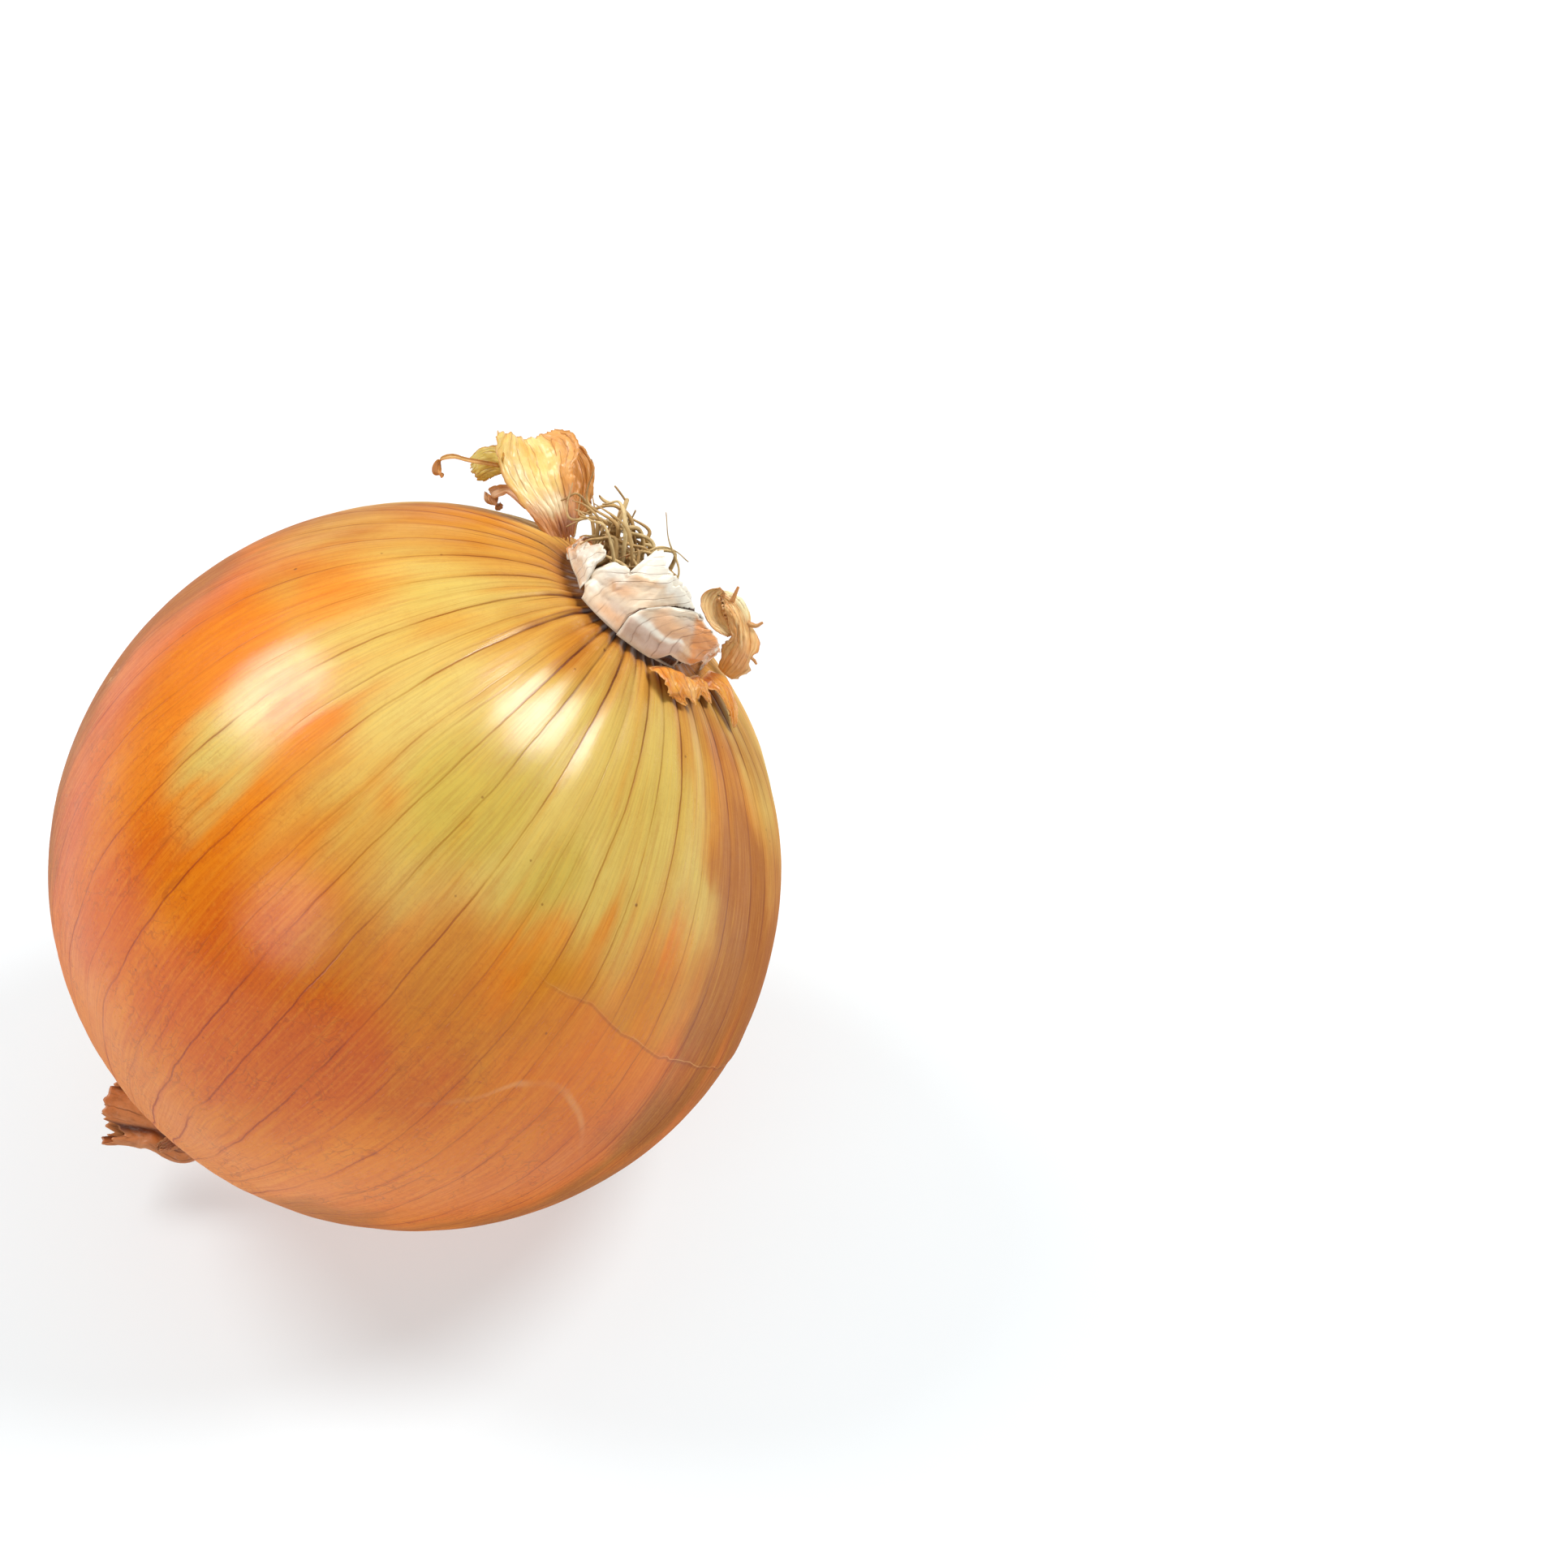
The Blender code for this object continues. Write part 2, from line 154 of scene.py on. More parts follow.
# ---------------------------------------------------------------------------------------------
# Mesh making
# ---------------------------------------------------------------------------------------------
def mesh_object(name, points, faces, finish, corner_uv=None, floats=None):
    """An object from points and a list of face arrays. corner_uv is {map: per-corner array}, floats {name: per-point array}."""
    mesh = bpy.data.meshes.new(name)
    sizes = np.concatenate([np.full(len(f), f.shape[1]) for f in faces]).astype(np.int32)
    corners = np.concatenate([np.asarray(f).reshape(-1) for f in faces]).astype(np.int32)
    mesh.vertices.add(len(points))
    mesh.vertices.foreach_set("co", np.asarray(points, np.float32).reshape(-1))
    mesh.loops.add(len(corners))
    mesh.loops.foreach_set("vertex_index", corners)
    mesh.polygons.add(len(sizes))
    mesh.polygons.foreach_set("loop_start", np.concatenate([[0], np.cumsum(sizes)[:-1]]).astype(np.int32))
    mesh.update(calc_edges=True)
    mesh.polygons.foreach_set("use_smooth", np.full(len(mesh.polygons), True))
    for key, values in (corner_uv or {}).items():
        layer = mesh.uv_layers.new(name=key)
        layer.data.foreach_set("uv", np.asarray(values, np.float32).reshape(-1))
    for key, values in (floats or {}).items():
        layer = mesh.attributes.new(key, "FLOAT", "POINT")
        layer.data.foreach_set("value", np.asarray(values, np.float32).reshape(-1))
    mesh.materials.append(finish)
    mesh.update()
    obj = bpy.data.objects.new(name, mesh)
    bpy.context.scene.collection.objects.link(obj)
    return obj


def steps(points, axis):
    """Distances along a grid from its first row or column, in millimetres."""
    gaps = np.linalg.norm(np.diff(points, axis=axis), axis=-1) / MM
    lead = np.zeros_like(np.take(gaps, [0], axis=axis))
    return np.concatenate([lead, np.cumsum(gaps, axis=axis)], axis=axis)


def sheet(name, points, thickness, finish, nodes, slot, floats=None):
    """A thin closed skin about a grid of points, thinner at its rim. thickness in millimetres."""
    n_u, n_v = points.shape[:2]
    normal = unit(np.cross(np.gradient(points, axis=0), np.gradient(points, axis=1)))
    across, along = steps(points, 0), steps(points, 1)
    rim = np.minimum(np.minimum(across, across[-1:] - across), np.minimum(along, along[:, -1:] - along))
    half = normal * (thickness * MM * 0.5 * (0.35 + 0.65 * ramp(rim, 0.0, 0.5)))[..., None]
    every = np.concatenate([(points + half).reshape(-1, 3), (points - half).reshape(-1, 3)])
    index = np.arange(n_u * n_v).reshape(n_u, n_v)
    front = np.stack([index[:-1, :-1], index[1:, :-1], index[1:, 1:], index[:-1, 1:]], -1).reshape(-1, 4)
    loop = np.concatenate([index[:-1, 0], index[-1, :-1], index[:0:-1, -1], index[0, :0:-1]])
    after = np.roll(loop, -1)
    total = n_u * n_v
    side = np.stack([after, loop, loop + total, after + total], -1)
    values = {
        "across": across - 0.5 * across[-1:], "along": along, "rim": rim,
        "wide": np.broadcast_to(np.linspace(-1, 1, n_u)[:, None], (n_u, n_v)),
        "far": np.broadcast_to(np.linspace(0, 1, n_v)[None, :], (n_u, n_v)),
    }
    values.update(floats or {})
    doubled = {key: np.concatenate([np.asarray(v).reshape(-1)] * 2) for key, v in values.items()}
    doubled["back"] = np.concatenate([np.zeros(total), np.ones(total)])
    piece = mesh_object(name, every, [front, front[:, ::-1] + total, side], finish, floats=doubled)
    dress(piece, nodes, slot)
    return piece


def dress(piece, nodes, slot):
    """Hides the solids that the piece stands in for and attaches it to the body it moves with; slot is not used."""
    if nodes:
        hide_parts(*nodes)
    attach(piece, ROOT_BODY)


def crumple(points, seed, swell=0.25, wrinkle=0.08, pleats=0.0, pleat_count=9, free=None):
    """Bends a grid of points along its normals: broad swells, fine wrinkles and pleats that run along it, in millimetres."""
    n_u, n_v = points.shape[:2]
    u, v = np.meshgrid(np.linspace(0.02, 0.93, n_u), np.linspace(0, 1, n_v), indexing="ij")
    normal = unit(np.cross(np.gradient(points, axis=0), np.gradient(points, axis=1)))
    lift = swell * smooth_noise(u, v, 4, 4, seed) + wrinkle * smooth_noise(u, v, 13, 9, seed + 1)
    lift = lift + 0.35 * wrinkle * smooth_noise(u, v, 31, 26, seed + 2)
    phase = u * pleat_count + 0.7 * smooth_noise(u, v, 5, 4, seed + 3)
    lift = lift + pleats * (np.abs(np.sin(np.pi * phase)) ** 0.7 - 0.6) * (0.5 + 0.5 * smooth_noise(u, v, 7, 3, seed + 4) ** 2 * 2)
    hold = ramp(v, 0.0, 0.18) if free is None else free
    return points + normal * (lift * hold * MM)[..., None]


def ragged(values, seed, coarse, fine, cells=9):
    """A torn outline along values 0..1: broad bites plus a fine fray."""
    flat = np.zeros_like(np.asarray(values, float))
    rough = smooth_noise(values, flat, cells, 1, seed)
    bites = np.clip(smooth_noise(values, flat, cells * 2, 1, seed + 1) - 0.35, 0, 1) * 2.0
    return coarse * (0.6 * rough - 0.9 * bites) + fine * smooth_noise(values, flat, cells * 7, 1, seed + 2)


def ribbon(spine, sides, half_widths, bends, n_u=50, n_v=70, seed=0, side_rag=0.06, end_rag=0.06, start_rag=0.0):
    """Grid of a strip of skin that follows spine, curled across its width, with torn sides and ends."""
    spine, sides = np.asarray(spine, float), np.asarray(sides, float)
    U, V = np.meshgrid(np.linspace(-1, 1, n_u), np.linspace(0, 1, n_v), indexing="ij")
    end = ragged(U * 0.46 + 0.5, seed + 41, end_rag, end_rag * 0.35, 5)
    start = ragged(U * 0.46 + 0.5, seed + 51, start_rag, start_rag * 0.35, 5)
    t = V * (1.0 + end - 0.02 * np.abs(U) ** 3) + start * (1 - V)
    edge = np.where(U > 0, ragged(V * 0.95, seed + 61, side_rag, side_rag * 0.3, 7), ragged(V * 0.95, seed + 71, side_rag, side_rag * 0.3, 7))
    u = U * (1.0 + edge * np.abs(U) ** 2)
    point = past(spine, t)
    ahead = unit(past(spine, t + 0.01) - past(spine, t - 0.01))
    side = past(sides, t)
    side = unit(side - ahead * np.sum(side * ahead, -1, keepdims=True))
    lift = np.cross(side, ahead)
    width, bend = past(np.asarray(half_widths, float), t)[..., None] * MM, past(np.asarray(bends, float), t)[..., None]
    width = np.clip(width, 0.12 * MM, None)
    u = u[..., None]
    return point + (side * np.sin(u * bend) + lift * (1 - np.cos(u * bend))) * (width / bend)


def past(knots, t):
    """through(), carried on straight past both ends."""
    inside = np.clip(t, 0.0, 1.0)
    value = through(knots, inside)
    slope_end = (through(knots, np.array([1.0])) - through(knots, np.array([0.98])))[0] / 0.02
    slope_start = (through(knots, np.array([0.02])) - through(knots, np.array([0.0])))[0] / 0.02
    over, under = np.clip(t - 1.0, 0.0, None), np.clip(t, None, 0.0)
    if value.ndim > over.ndim:
        over, under = over[..., None], under[..., None]
    return value + over * slope_end + under * slope_start


# ---------------------------------------------------------------------------------------------
# Node helpers
# ---------------------------------------------------------------------------------------------
class Nodes:
    """Short names for the shader nodes used below. A value may be a number, a tuple or a socket."""

    def __init__(self, name):
        self.material = bpy.data.materials.new(name)
        self.material.use_nodes = True
        self.tree = self.material.node_tree
        self.tree.nodes.clear()
        self.output = self.tree.nodes.new("ShaderNodeOutputMaterial")
        self.shader = self.tree.nodes.new("ShaderNodeBsdfPrincipled")
        self.tree.links.new(self.shader.outputs[0], self.output.inputs["Surface"])

    def put(self, socket, value):
        if isinstance(value, bpy.types.NodeSocket):
            self.tree.links.new(value, socket)
        elif value is not None:
            if hasattr(socket.default_value, "__len__"):
                value = tuple(value) if hasattr(value, "__len__") else (value,) * len(socket.default_value)
                if len(socket.default_value) == 4 and len(value) == 3:
                    value = (*value, 1.0)
            socket.default_value = value

    def new(self, kind, **settings):
        node = self.tree.nodes.new(kind)
        for key, value in settings.items():
            setattr(node, key, value)
        return node

    def math(self, operation, a, b=None, c=None, clamp=False):
        node = self.new("ShaderNodeMath", operation=operation, use_clamp=clamp)
        for socket, value in zip(node.inputs, (a, b, c)):
            self.put(socket, value)
        return node.outputs[0]

    def add(self, a, b):
        return self.math("ADD", a, b)

    def sub(self, a, b):
        return self.math("SUBTRACT", a, b)

    def mul(self, a, b, *more):
        out = self.math("MULTIPLY", a, b)
        for c in more:
            out = self.math("MULTIPLY", out, c)
        return out

    def clamp(self, a):
        return self.math("ADD", a, 0.0, clamp=True)

    def span(self, value, low, high, to_low=0.0, to_high=1.0, kind="SMOOTHSTEP"):
        node = self.new("ShaderNodeMapRange", interpolation_type=kind, clamp=True) if kind == "LINEAR" else self.new("ShaderNodeMapRange", interpolation_type=kind)
        for socket, item in zip(node.inputs, (value, low, high, to_low, to_high)):
            self.put(socket, item)
        return node.outputs[0]

    def mix(self, factor, a, b, blend="MIX"):
        node = self.new("ShaderNodeMix", data_type="RGBA", blend_type=blend)
        self.put(node.inputs[0], factor)
        self.put(node.inputs[6], a)
        self.put(node.inputs[7], b)
        return node.outputs[2]

    def blend(self, factor, a, b):
        node = self.new("ShaderNodeMix", data_type="FLOAT")
        self.put(node.inputs[0], factor)
        self.put(node.inputs[2], a)
        self.put(node.inputs[3], b)
        return node.outputs[0]

    def attribute(self, name):
        return self.new("ShaderNodeAttribute", attribute_name=name).outputs["Fac"]

    def uv(self, name):
        return self.new("ShaderNodeUVMap", uv_map=name).outputs[0]

    def where(self):
        return self.new("ShaderNodeTexCoord").outputs["Object"]

    def split(self, vector):
        node = self.new("ShaderNodeSeparateXYZ")
        self.put(node.inputs[0], vector)
        return node.outputs[0], node.outputs[1], node.outputs[2]

    def join(self, x, y, z=0.0):
        node = self.new("ShaderNodeCombineXYZ")
        for socket, value in zip(node.inputs, (x, y, z)):
            self.put(socket, value)
        return node.outputs[0]

    def noise(self, vector, scale=1.0, detail=2.0, rough=0.5, distortion=0.0, colour=False):
        node = self.new("ShaderNodeTexNoise")
        self.put(node.inputs["Vector"], vector)
        self.put(node.inputs["Scale"], scale)
        self.put(node.inputs["Detail"], detail)
        self.put(node.inputs["Roughness"], rough)
        self.put(node.inputs["Distortion"], distortion)
        return node.outputs["Color" if colour else "Fac"]

    def cells(self, vector, scale, feature="F1", randomness=1.0):
        node = self.new("ShaderNodeTexVoronoi", feature=feature)
        self.put(node.inputs["Vector"], vector)
        self.put(node.inputs["Scale"], scale)
        self.put(node.inputs["Randomness"], randomness)
        return node

    def random(self, value):
        node = self.new("ShaderNodeTexWhiteNoise", noise_dimensions="1D")
        self.put(node.inputs["W"], value)
        return node.outputs["Value"]

    def bump(self, height, strength=1.0):
        """height in metres."""
        node = self.new("ShaderNodeBump")
        self.put(node.inputs["Strength"], strength)
        self.put(node.inputs["Distance"], 1.0)
        self.put(node.inputs["Height"], height)
        return node.outputs[0]

    def finish(self, colour=None, roughness=None, normal=None, **fixed):
        self.put(self.shader.inputs["Base Color"], colour)
        self.put(self.shader.inputs["Roughness"], roughness)
        if normal is not None:
            self.put(self.shader.inputs["Normal"], normal)
        for key, value in fixed.items():
            self.put(self.shader.inputs[key.replace("_", " ")], value)
        return self.material


def srgb(r, g, b):
    """A colour read as a screen colour, 0 to 255, as the linear colour that shaders take."""
    c = np.array([r, g, b], float) / 255.0
    c = np.where(c <= 0.04045, c / 12.92, ((c + 0.055) / 1.055) ** 2.4)
    return tuple(float(x) for x in c)


# ---------------------------------------------------------------------------------------------
# The bulb: veins, soft colour zones, torn edge of the outer skin, fine mesh
# ---------------------------------------------------------------------------------------------
# Longitudes of the main veins on the viewer's side, in degrees, with how strongly each shows
FRONT_VEINS = [
    (-79, 0.7), (-69, 0.75), (-59, 0.8), (-48, 0.7), (-41, 0.3), (-35, 1.0), (-27, 0.35), (-21, 1.0),
    (-12, 0.4), (-4, 0.95), (4, 0.9), (14, 0.95), (23, 0.45), (32, 0.85), (40, 0.6), (48, 0.85),
    (58, 0.7), (68, 0.9), (78, 0.8),
]


def vein_table():
    rng = np.random.default_rng(11)
    longitudes, strengths = [a for a, _ in FRONT_VEINS], [s for _, s in FRONT_VEINS]
    around = longitudes[-1]
    while around < 360.0 + longitudes[0] - 12.0:
        around += rng.uniform(7.6, 11.6)
        longitudes.append(around)
        strengths.append(rng.choice([0.4, 0.7, 0.85, 1.0]))
    return np.array(longitudes, float), np.array(strengths, float)


VEIN_LONGITUDES, VEIN_STRENGTHS = vein_table()
VEIN_COUNT = len(VEIN_LONGITUDES)


def vein_coordinate(around_deg):
    """A coordinate that is a whole number on each main vein. It runs on past VEIN_COUNT after a full turn."""
    start = VEIN_LONGITUDES[0]
    turns = np.floor((around_deg - start) / 360.0)
    rest = around_deg - 360.0 * turns
    table = np.append(VEIN_LONGITUDES, start + 360.0)
    return np.interp(rest, table, np.arange(VEIN_COUNT + 1)) + turns * VEIN_COUNT


def angular_distance(polar, around, spot_polar, spot_around):
    here = outward(polar, around)
    spot = outward(np.radians(spot_polar), np.radians(spot_around))
    return np.degrees(np.arccos(np.clip(here @ spot, -1.0, 1.0)))


def zone(polar, around, spots, warp):
    """Soft patches, longer along the skin than across it: spots are (polar, around, radius, strength) in degrees,
    with an optional stretch. warp roughens their edges."""
    value = np.zeros_like(polar)
    deg_p = np.degrees(polar)
    for spot_polar, spot_around, radius, strength, *more in spots:
        stretch = more[0] if more else 1.35
        turn = (np.degrees(around) - spot_around + 180.0) % 360.0 - 180.0
        across = turn * np.sin(0.5 * (polar + np.radians(spot_polar))) * math.sqrt(stretch)
        distance = np.hypot((deg_p - spot_polar) / math.sqrt(stretch), across) + warp * min(1.0, 0.35 + radius / 22.0)
        value = np.maximum(value, strength * (1.0 - ramp(distance, 0.0, radius * 1.6)))
    return value


BULB_COLUMNS, BULB_ROWS = 396, 228


def bulb_rows():
    """Polar angles of the rows, closer together round the root end and the neck."""
    t = np.linspace(0.0, 1.0, 4001)
    density = 1.0 + 1.7 * hump(t, 0.085, 0.06) + 1.2 * hump(t, 0.96, 0.05) + 0.5 * hump(t, 0.42, 0.08)
    walk = np.concatenate([[0.0], np.cumsum((density[1:] + density[:-1]) * 0.5)])
    walk /= walk[-1]
    return np.interp(np.linspace(0.0, 1.0, BULB_ROWS + 1), walk, t) * np.pi


def make_bulb(finish):
    rows = bulb_rows()
    inner = rows[1:-1]
    around = 2.0 * np.pi * np.arange(BULB_COLUMNS + 1) / BULB_COLUMNS
    P, A = np.meshgrid(inner, around, indexing="ij")
    u, v = A / (2.0 * np.pi), P / np.pi
    deg_p, deg_a = np.degrees(P), np.degrees(A)

    # where the veins run: a slight lean on the right side, a slow wander, and more of it near the neck
    side_lean = 0.10 * (deg_p - 40.0) * (0.35 + 0.65 * np.clip(np.sin(A), 0.0, 1.0))
    wander = 1.3 * smooth_noise(u, v, 9, 5, 1) + 0.45 * smooth_noise(u, v, 36, 14, 2) * ramp(deg_p, 20, 60)
    wander += (2.0 * smooth_noise(u, v, 24, 16, 3) + 0.9 * smooth_noise(u, v, 60, 36, 4)) * ramp(deg_p, 95, 160)
    traced = deg_a + side_lean + wander
    w = vein_coordinate(traced)
    step = np.gradient(vein_coordinate(traced), axis=1) / np.gradient(traced, axis=1)
    spacing = (BULB_RADIUS / MM) * np.sin(P) * np.radians(1.0) / np.clip(step, 0.02, None)

    # height of the skin over the smooth bulb, in millimetres
    to_vein = np.abs(w - np.round(w))
    lobe = np.abs(np.sin(np.pi * w)) ** 0.75
    nearest = np.round(w).astype(int) % VEIN_COUNT
    strength = VEIN_STRENGTHS[nearest]
    crease = 0.34 * hump(deg_p, 13.5, 6.5) + 0.17 * hump(deg_p, 22.0, 11.0) + 0.045 * hump(deg_p, 40.0, 26.0)
    relief = crease * (lobe - 0.6) * (0.45 + 0.55 * strength)
    pleat = 0.42 * ramp(deg_p, 158.0, 174.0) + 0.05 * ramp(deg_p, 135.0, 160.0)
    relief += pleat * (np.abs(np.sin(np.pi * w + 1.3)) ** 0.8 - 0.6)
    relief += 0.085 * smooth_noise(u, v, 30, 4, 5) * ramp(deg_p, 10, 40)
    relief += 0.045 * smooth_noise(u, v, 80, 7, 6) + 0.06 * smooth_noise(u, v, 16, 9, 7)
    relief += 0.012 * smooth_noise(u, v, 190, 60, 8)
    # the dent that the collar grows out of
    relief -= 0.55 * hump(deg_p, 12.6, 3.4)

    # the torn edge of the outer skin low on the right, and the round ridge left of it
    edge_at = np.interp(
        np.where(deg_a > 180.0, deg_a - 360.0, deg_a),
        [8, 22, 31, 42, 52, 63, 71, 87, 110, 140],
        [66, 68.5, 70.0, 70.4, 73.2, 75.4, 76.2, 79.5, 84.0, 92.0],
    )
    edge_at = edge_at + 0.55 * smooth_noise(u, v * 0.0, 90, 1, 21) + 0.3 * smooth_noise(u, v * 0.0, 240, 1, 22)
    edge = (deg_p - edge_at) * np.radians(1.0) * (BULB_RADIUS / MM)
    signed_a = np.where(deg_a > 180.0, deg_a - 360.0, deg_a)
    edge_shows = ramp(signed_a, 24.0, 46.0) * (1.0 - ramp(signed_a, 118.0, 140.0))
    relief += 0.13 * edge_shows * (1.0 - ramp(edge, -0.12, 0.25)) * ramp(edge, -4.0, -0.3)

    ridge_at = np.interp(signed_a, [14, 26, 30, 34, 37.5, 42, 46.5, 51, 54.5, 58, 66], [101, 97.5, 94.0, 90.0, 85.6, 83.6, 84.6, 87.0, 90.0, 94.0, 100.0])
    ridge_at = ridge_at + 0.25 * smooth_noise(u, v * 0.0, 130, 1, 24)
    ridge = (deg_p - ridge_at) * np.radians(1.0) * (BULB_RADIUS / MM)
    ridge_shows = ramp(signed_a, 25.0, 33.0) * (1.0 - ramp(signed_a, 53.0, 62.0))
    relief += 0.10 * ridge_shows * hump(ridge, 0.25, 0.42)

    # a thin torn strip of skin that stands along the right rim below the flaps
    strip = hump(signed_a, 121.0 - 0.28 * (deg_p - 20.0), 3.0) * ramp(deg_p, 17.0, 21.0) * (1.0 - ramp(deg_p, 33.0, 41.0))
    relief += 0.22 * strip

    # a small scar on the upper left
    scar = hump(angular_distance(P, A, 91.5, -71.0) + 0.9 * smooth_noise(u, v, 110, 50, 26), 0.0, 2.1)
    relief -= 0.10 * scar

    radius = bulb_radius(P, A) + relief * MM
    points = MIDDLE + outward(P, A) * radius[..., None]

    # the underside is pressed flat on the table
    low = points[..., 2] < 0.004
    points[..., 2] = np.where(low, 0.5 * (points[..., 2] + np.sqrt(points[..., 2] ** 2 + 0.00024**2)), points[..., 2])
    points[..., 2] = np.maximum(points[..., 2], 0.00003)

    # soft colour zones
    warp = 6.0 * smooth_noise(u, v, 15, 9, 31) + 4.0 * smooth_noise(u, v, 44, 20, 32)
    streak = 5.0 * smooth_noise(u, v, 90, 7, 33) + 3.5 * smooth_noise(u, v, 210, 9, 34)
    # pale yellow patches: mostly the skin's own paler colour; the patch at polar 76, around -33 is painted highlight
    pale_and_highlight = zone(P, A, [
        (43, 10, 22, 1.0), (56, 14, 19, 1.0), (51, 33, 18, 1.0), (41, 44, 15, 0.95), (46, -17, 16, 0.95), (53, 56, 13, 0.8),
        (50, -32, 13, 0.75), (33, 20, 13, 0.8), (33, -38, 12, 0.85), (46, 52, 13, 0.95), (62, -14, 9, 0.5), (76, -33, 12, 1.0), (30, 36, 11, 0.8), (28, 92, 13, 0.8), (37, 126, 14, 0.8),
        (60, 160, 20, 0.8), (48, 205, 22, 1.0), (35, 250, 17, 0.8), (72, 215, 18, 0.6), (128, 150, 18, 0.4),
    ], warp * 0.8 + streak)
    green = zone(P, A, [(50, 5, 13, 1.0), (59, 22, 11, 1.0), (44, 32, 9, 0.5), (52, 205, 15, 0.8), (60, 165, 11, 0.6)], warp)
    gold = zone(P, A, [
        (67, 0, 14, 1.0), (65, -18, 15, 1.0), (58, -33, 15, 1.0), (75, -32, 11, 1.0), (46, -50, 13, 0.8), (33, -62, 14, 0.9), (38, -78, 12, 0.6), (56, -68, 12, 0.9), (78, -14, 9, 0.5),
        (62, 40, 16, 0.7), (66, 58, 12, 0.5), (24, 20, 14, 1.0), (26, -20, 12, 0.9), (36, 100, 18, 0.8), (56, 130, 20, 0.8),
        (70, 185, 22, 0.9), (52, 235, 22, 0.9), (44, 270, 15, 0.8), (120, 150, 22, 0.7), (134, 230, 18, 0.6),
    ], warp + streak * 0.6)
    gold = np.maximum(gold, 0.95 * (1.0 - ramp(deg_p + warp * 0.8 + streak * 0.6, 50.0, 76.0)))
    orange = zone(P, A, [
        (76, -68, 20, 0.9), (90, -58, 20, 0.9), (106, -52, 16, 0.9), (120, -46, 14, 0.6), (98, 4, 20, 0.9),
        (96, 60, 20, 0.9), (82, 66, 13, 0.9), (80, 92, 24, 0.95), (100, 112, 24, 0.9), (120, 85, 20, 0.7),
        (96, 190, 24, 0.9), (110, 240, 24, 0.9), (80, 268, 22, 0.9), (64, 118, 16, 0.7),
    ], warp)
    rust = zone(P, A, [
        (104, -33, 14, 1.0), (102, -8, 15, 1.0), (108, -54, 13, 0.9), (99, 10, 13, 1.0), (92, 26, 10, 0.6), (93, -62, 11, 0.7), (89, 62, 11, 0.8), (105, 128, 13, 0.8), (118, 200, 15, 0.9),
        (94, 235, 13, 0.8), (78, 284, 12, 0.6), (120, 268, 13, 0.7),
    ], warp * 0.9 + streak * 0.5)
    amber = zone(P, A, [
        (77, 17, 14, 1.0), (73, 35, 14, 1.0), (66, 51, 12, 0.9), (88, 28, 12, 0.9), (86, 4, 11, 0.9), (62, 62, 10, 0.7), (38, 72, 11, 0.9),
        (24, -66, 9, 0.5), (24, -4, 7, 0.6), (32, -92, 12, 0.9), (146, 20, 11, 0.8), (137, 44, 11, 0.8), (78, 180, 15, 0.6), (62, 240, 13, 0.5), (30, 150, 10, 0.5),
    ], warp * 0.9 + streak * 0.4)
    # deep brown patches: the skin's own darker brown, and on the right flank (around 69 to 98) also painted shade from
    # neighbouring onions
    deep = zone(P, A, [
        (60, -90, 16, 0.8), (108, -60, 9, 0.5), (103, 69, 10, 0.8), (84, 74, 12, 1.0), (80, -84, 20, 1.0), (104, -76, 20, 1.0), (124, -70, 15, 0.8), (47, -96, 11, 0.6), (54, 76, 11, 1.0), (70, 73, 13, 1.0),
        (87, 72, 14, 1.0), (103, 76, 15, 1.0), (120, 70, 13, 0.8), (66, 92, 18, 1.0), (92, 98, 22, 1.0), (27, 100, 9, 0.6), (84, 134, 18, 0.5),
        (112, 118, 18, 0.7), (98, -112, 22, 0.9), (76, -124, 18, 0.7), (108, 190, 18, 0.6), (124, -120, 16, 0.6), (140, 44, 12, 0.6), (142, -70, 12, 0.5),
    ], warp * 1.1 + streak * 0.6)
    # peach: the lower skin's own colour; between polar 52 and 88, around -50 to -14, it is partly a painted highlight
    # glow
    peach = 0.9 * ramp(deg_p + warp, 116.0, 146.0)
    peach = np.maximum(peach, zone(P, A, [
        (104, 37, 12, 0.85), (97, 44, 8, 0.8), (118, 22, 14, 0.6), (131, -22, 15, 1.0), (134, 2, 13, 1.0), (128, 26, 11, 0.9), (88, -45, 12, 1.0), (71, -50, 13, 1.0), (66, -24, 9, 0.6), (52, -50, 9, 0.6), (80, -14, 8, 0.5), (120, 200, 14, 0.5),
    ], warp * 0.5))
    peach = np.where((ridge_shows > 0.5) & (ridge < 0.0), peach * (1.0 - 0.85 * ramp(-ridge, 0.0, 0.5)), peach)
    # brown along the foot of the collar and blotches that run from it down the skin: partly the skin's own stain,
    # partly painted shade in the dent under the collar and under the hanging flaps
    stain_and_shade = hump(deg_p, 12.0, 4.2) + zone(P, A, [
        (23, -5, 7.0, 0.55), (22, 14, 6.0, 0.45), (26, -21, 4.5, 0.55), (27, -30, 4.5, 0.35), (20, 52, 6.0, 0.55), (22, 66, 6.0, 0.6), (25, 80, 6.0, 0.5), (30, -60, 6.0, 0.3),
        (21, 30, 4.5, 0.35), (24, 180, 7.0, 0.5), (27, 230, 7.0, 0.5), (22, 150, 5.0, 0.4),
    ], (warp + streak) * 0.55)
    below = edge_shows * ramp(edge, -0.15, 0.25)

    # the skin is duller along the flanks than on the face
    facing = outward(P, A) @ LOOK
    matt = hump(facing, 0.10, 0.34)
    flank = outward(P, A) @ unit([0.82, -0.40, -0.40])
    matt = np.minimum(matt, 0.8) * (1.0 + 0.65 * ramp(flank, 0.30, 0.70))

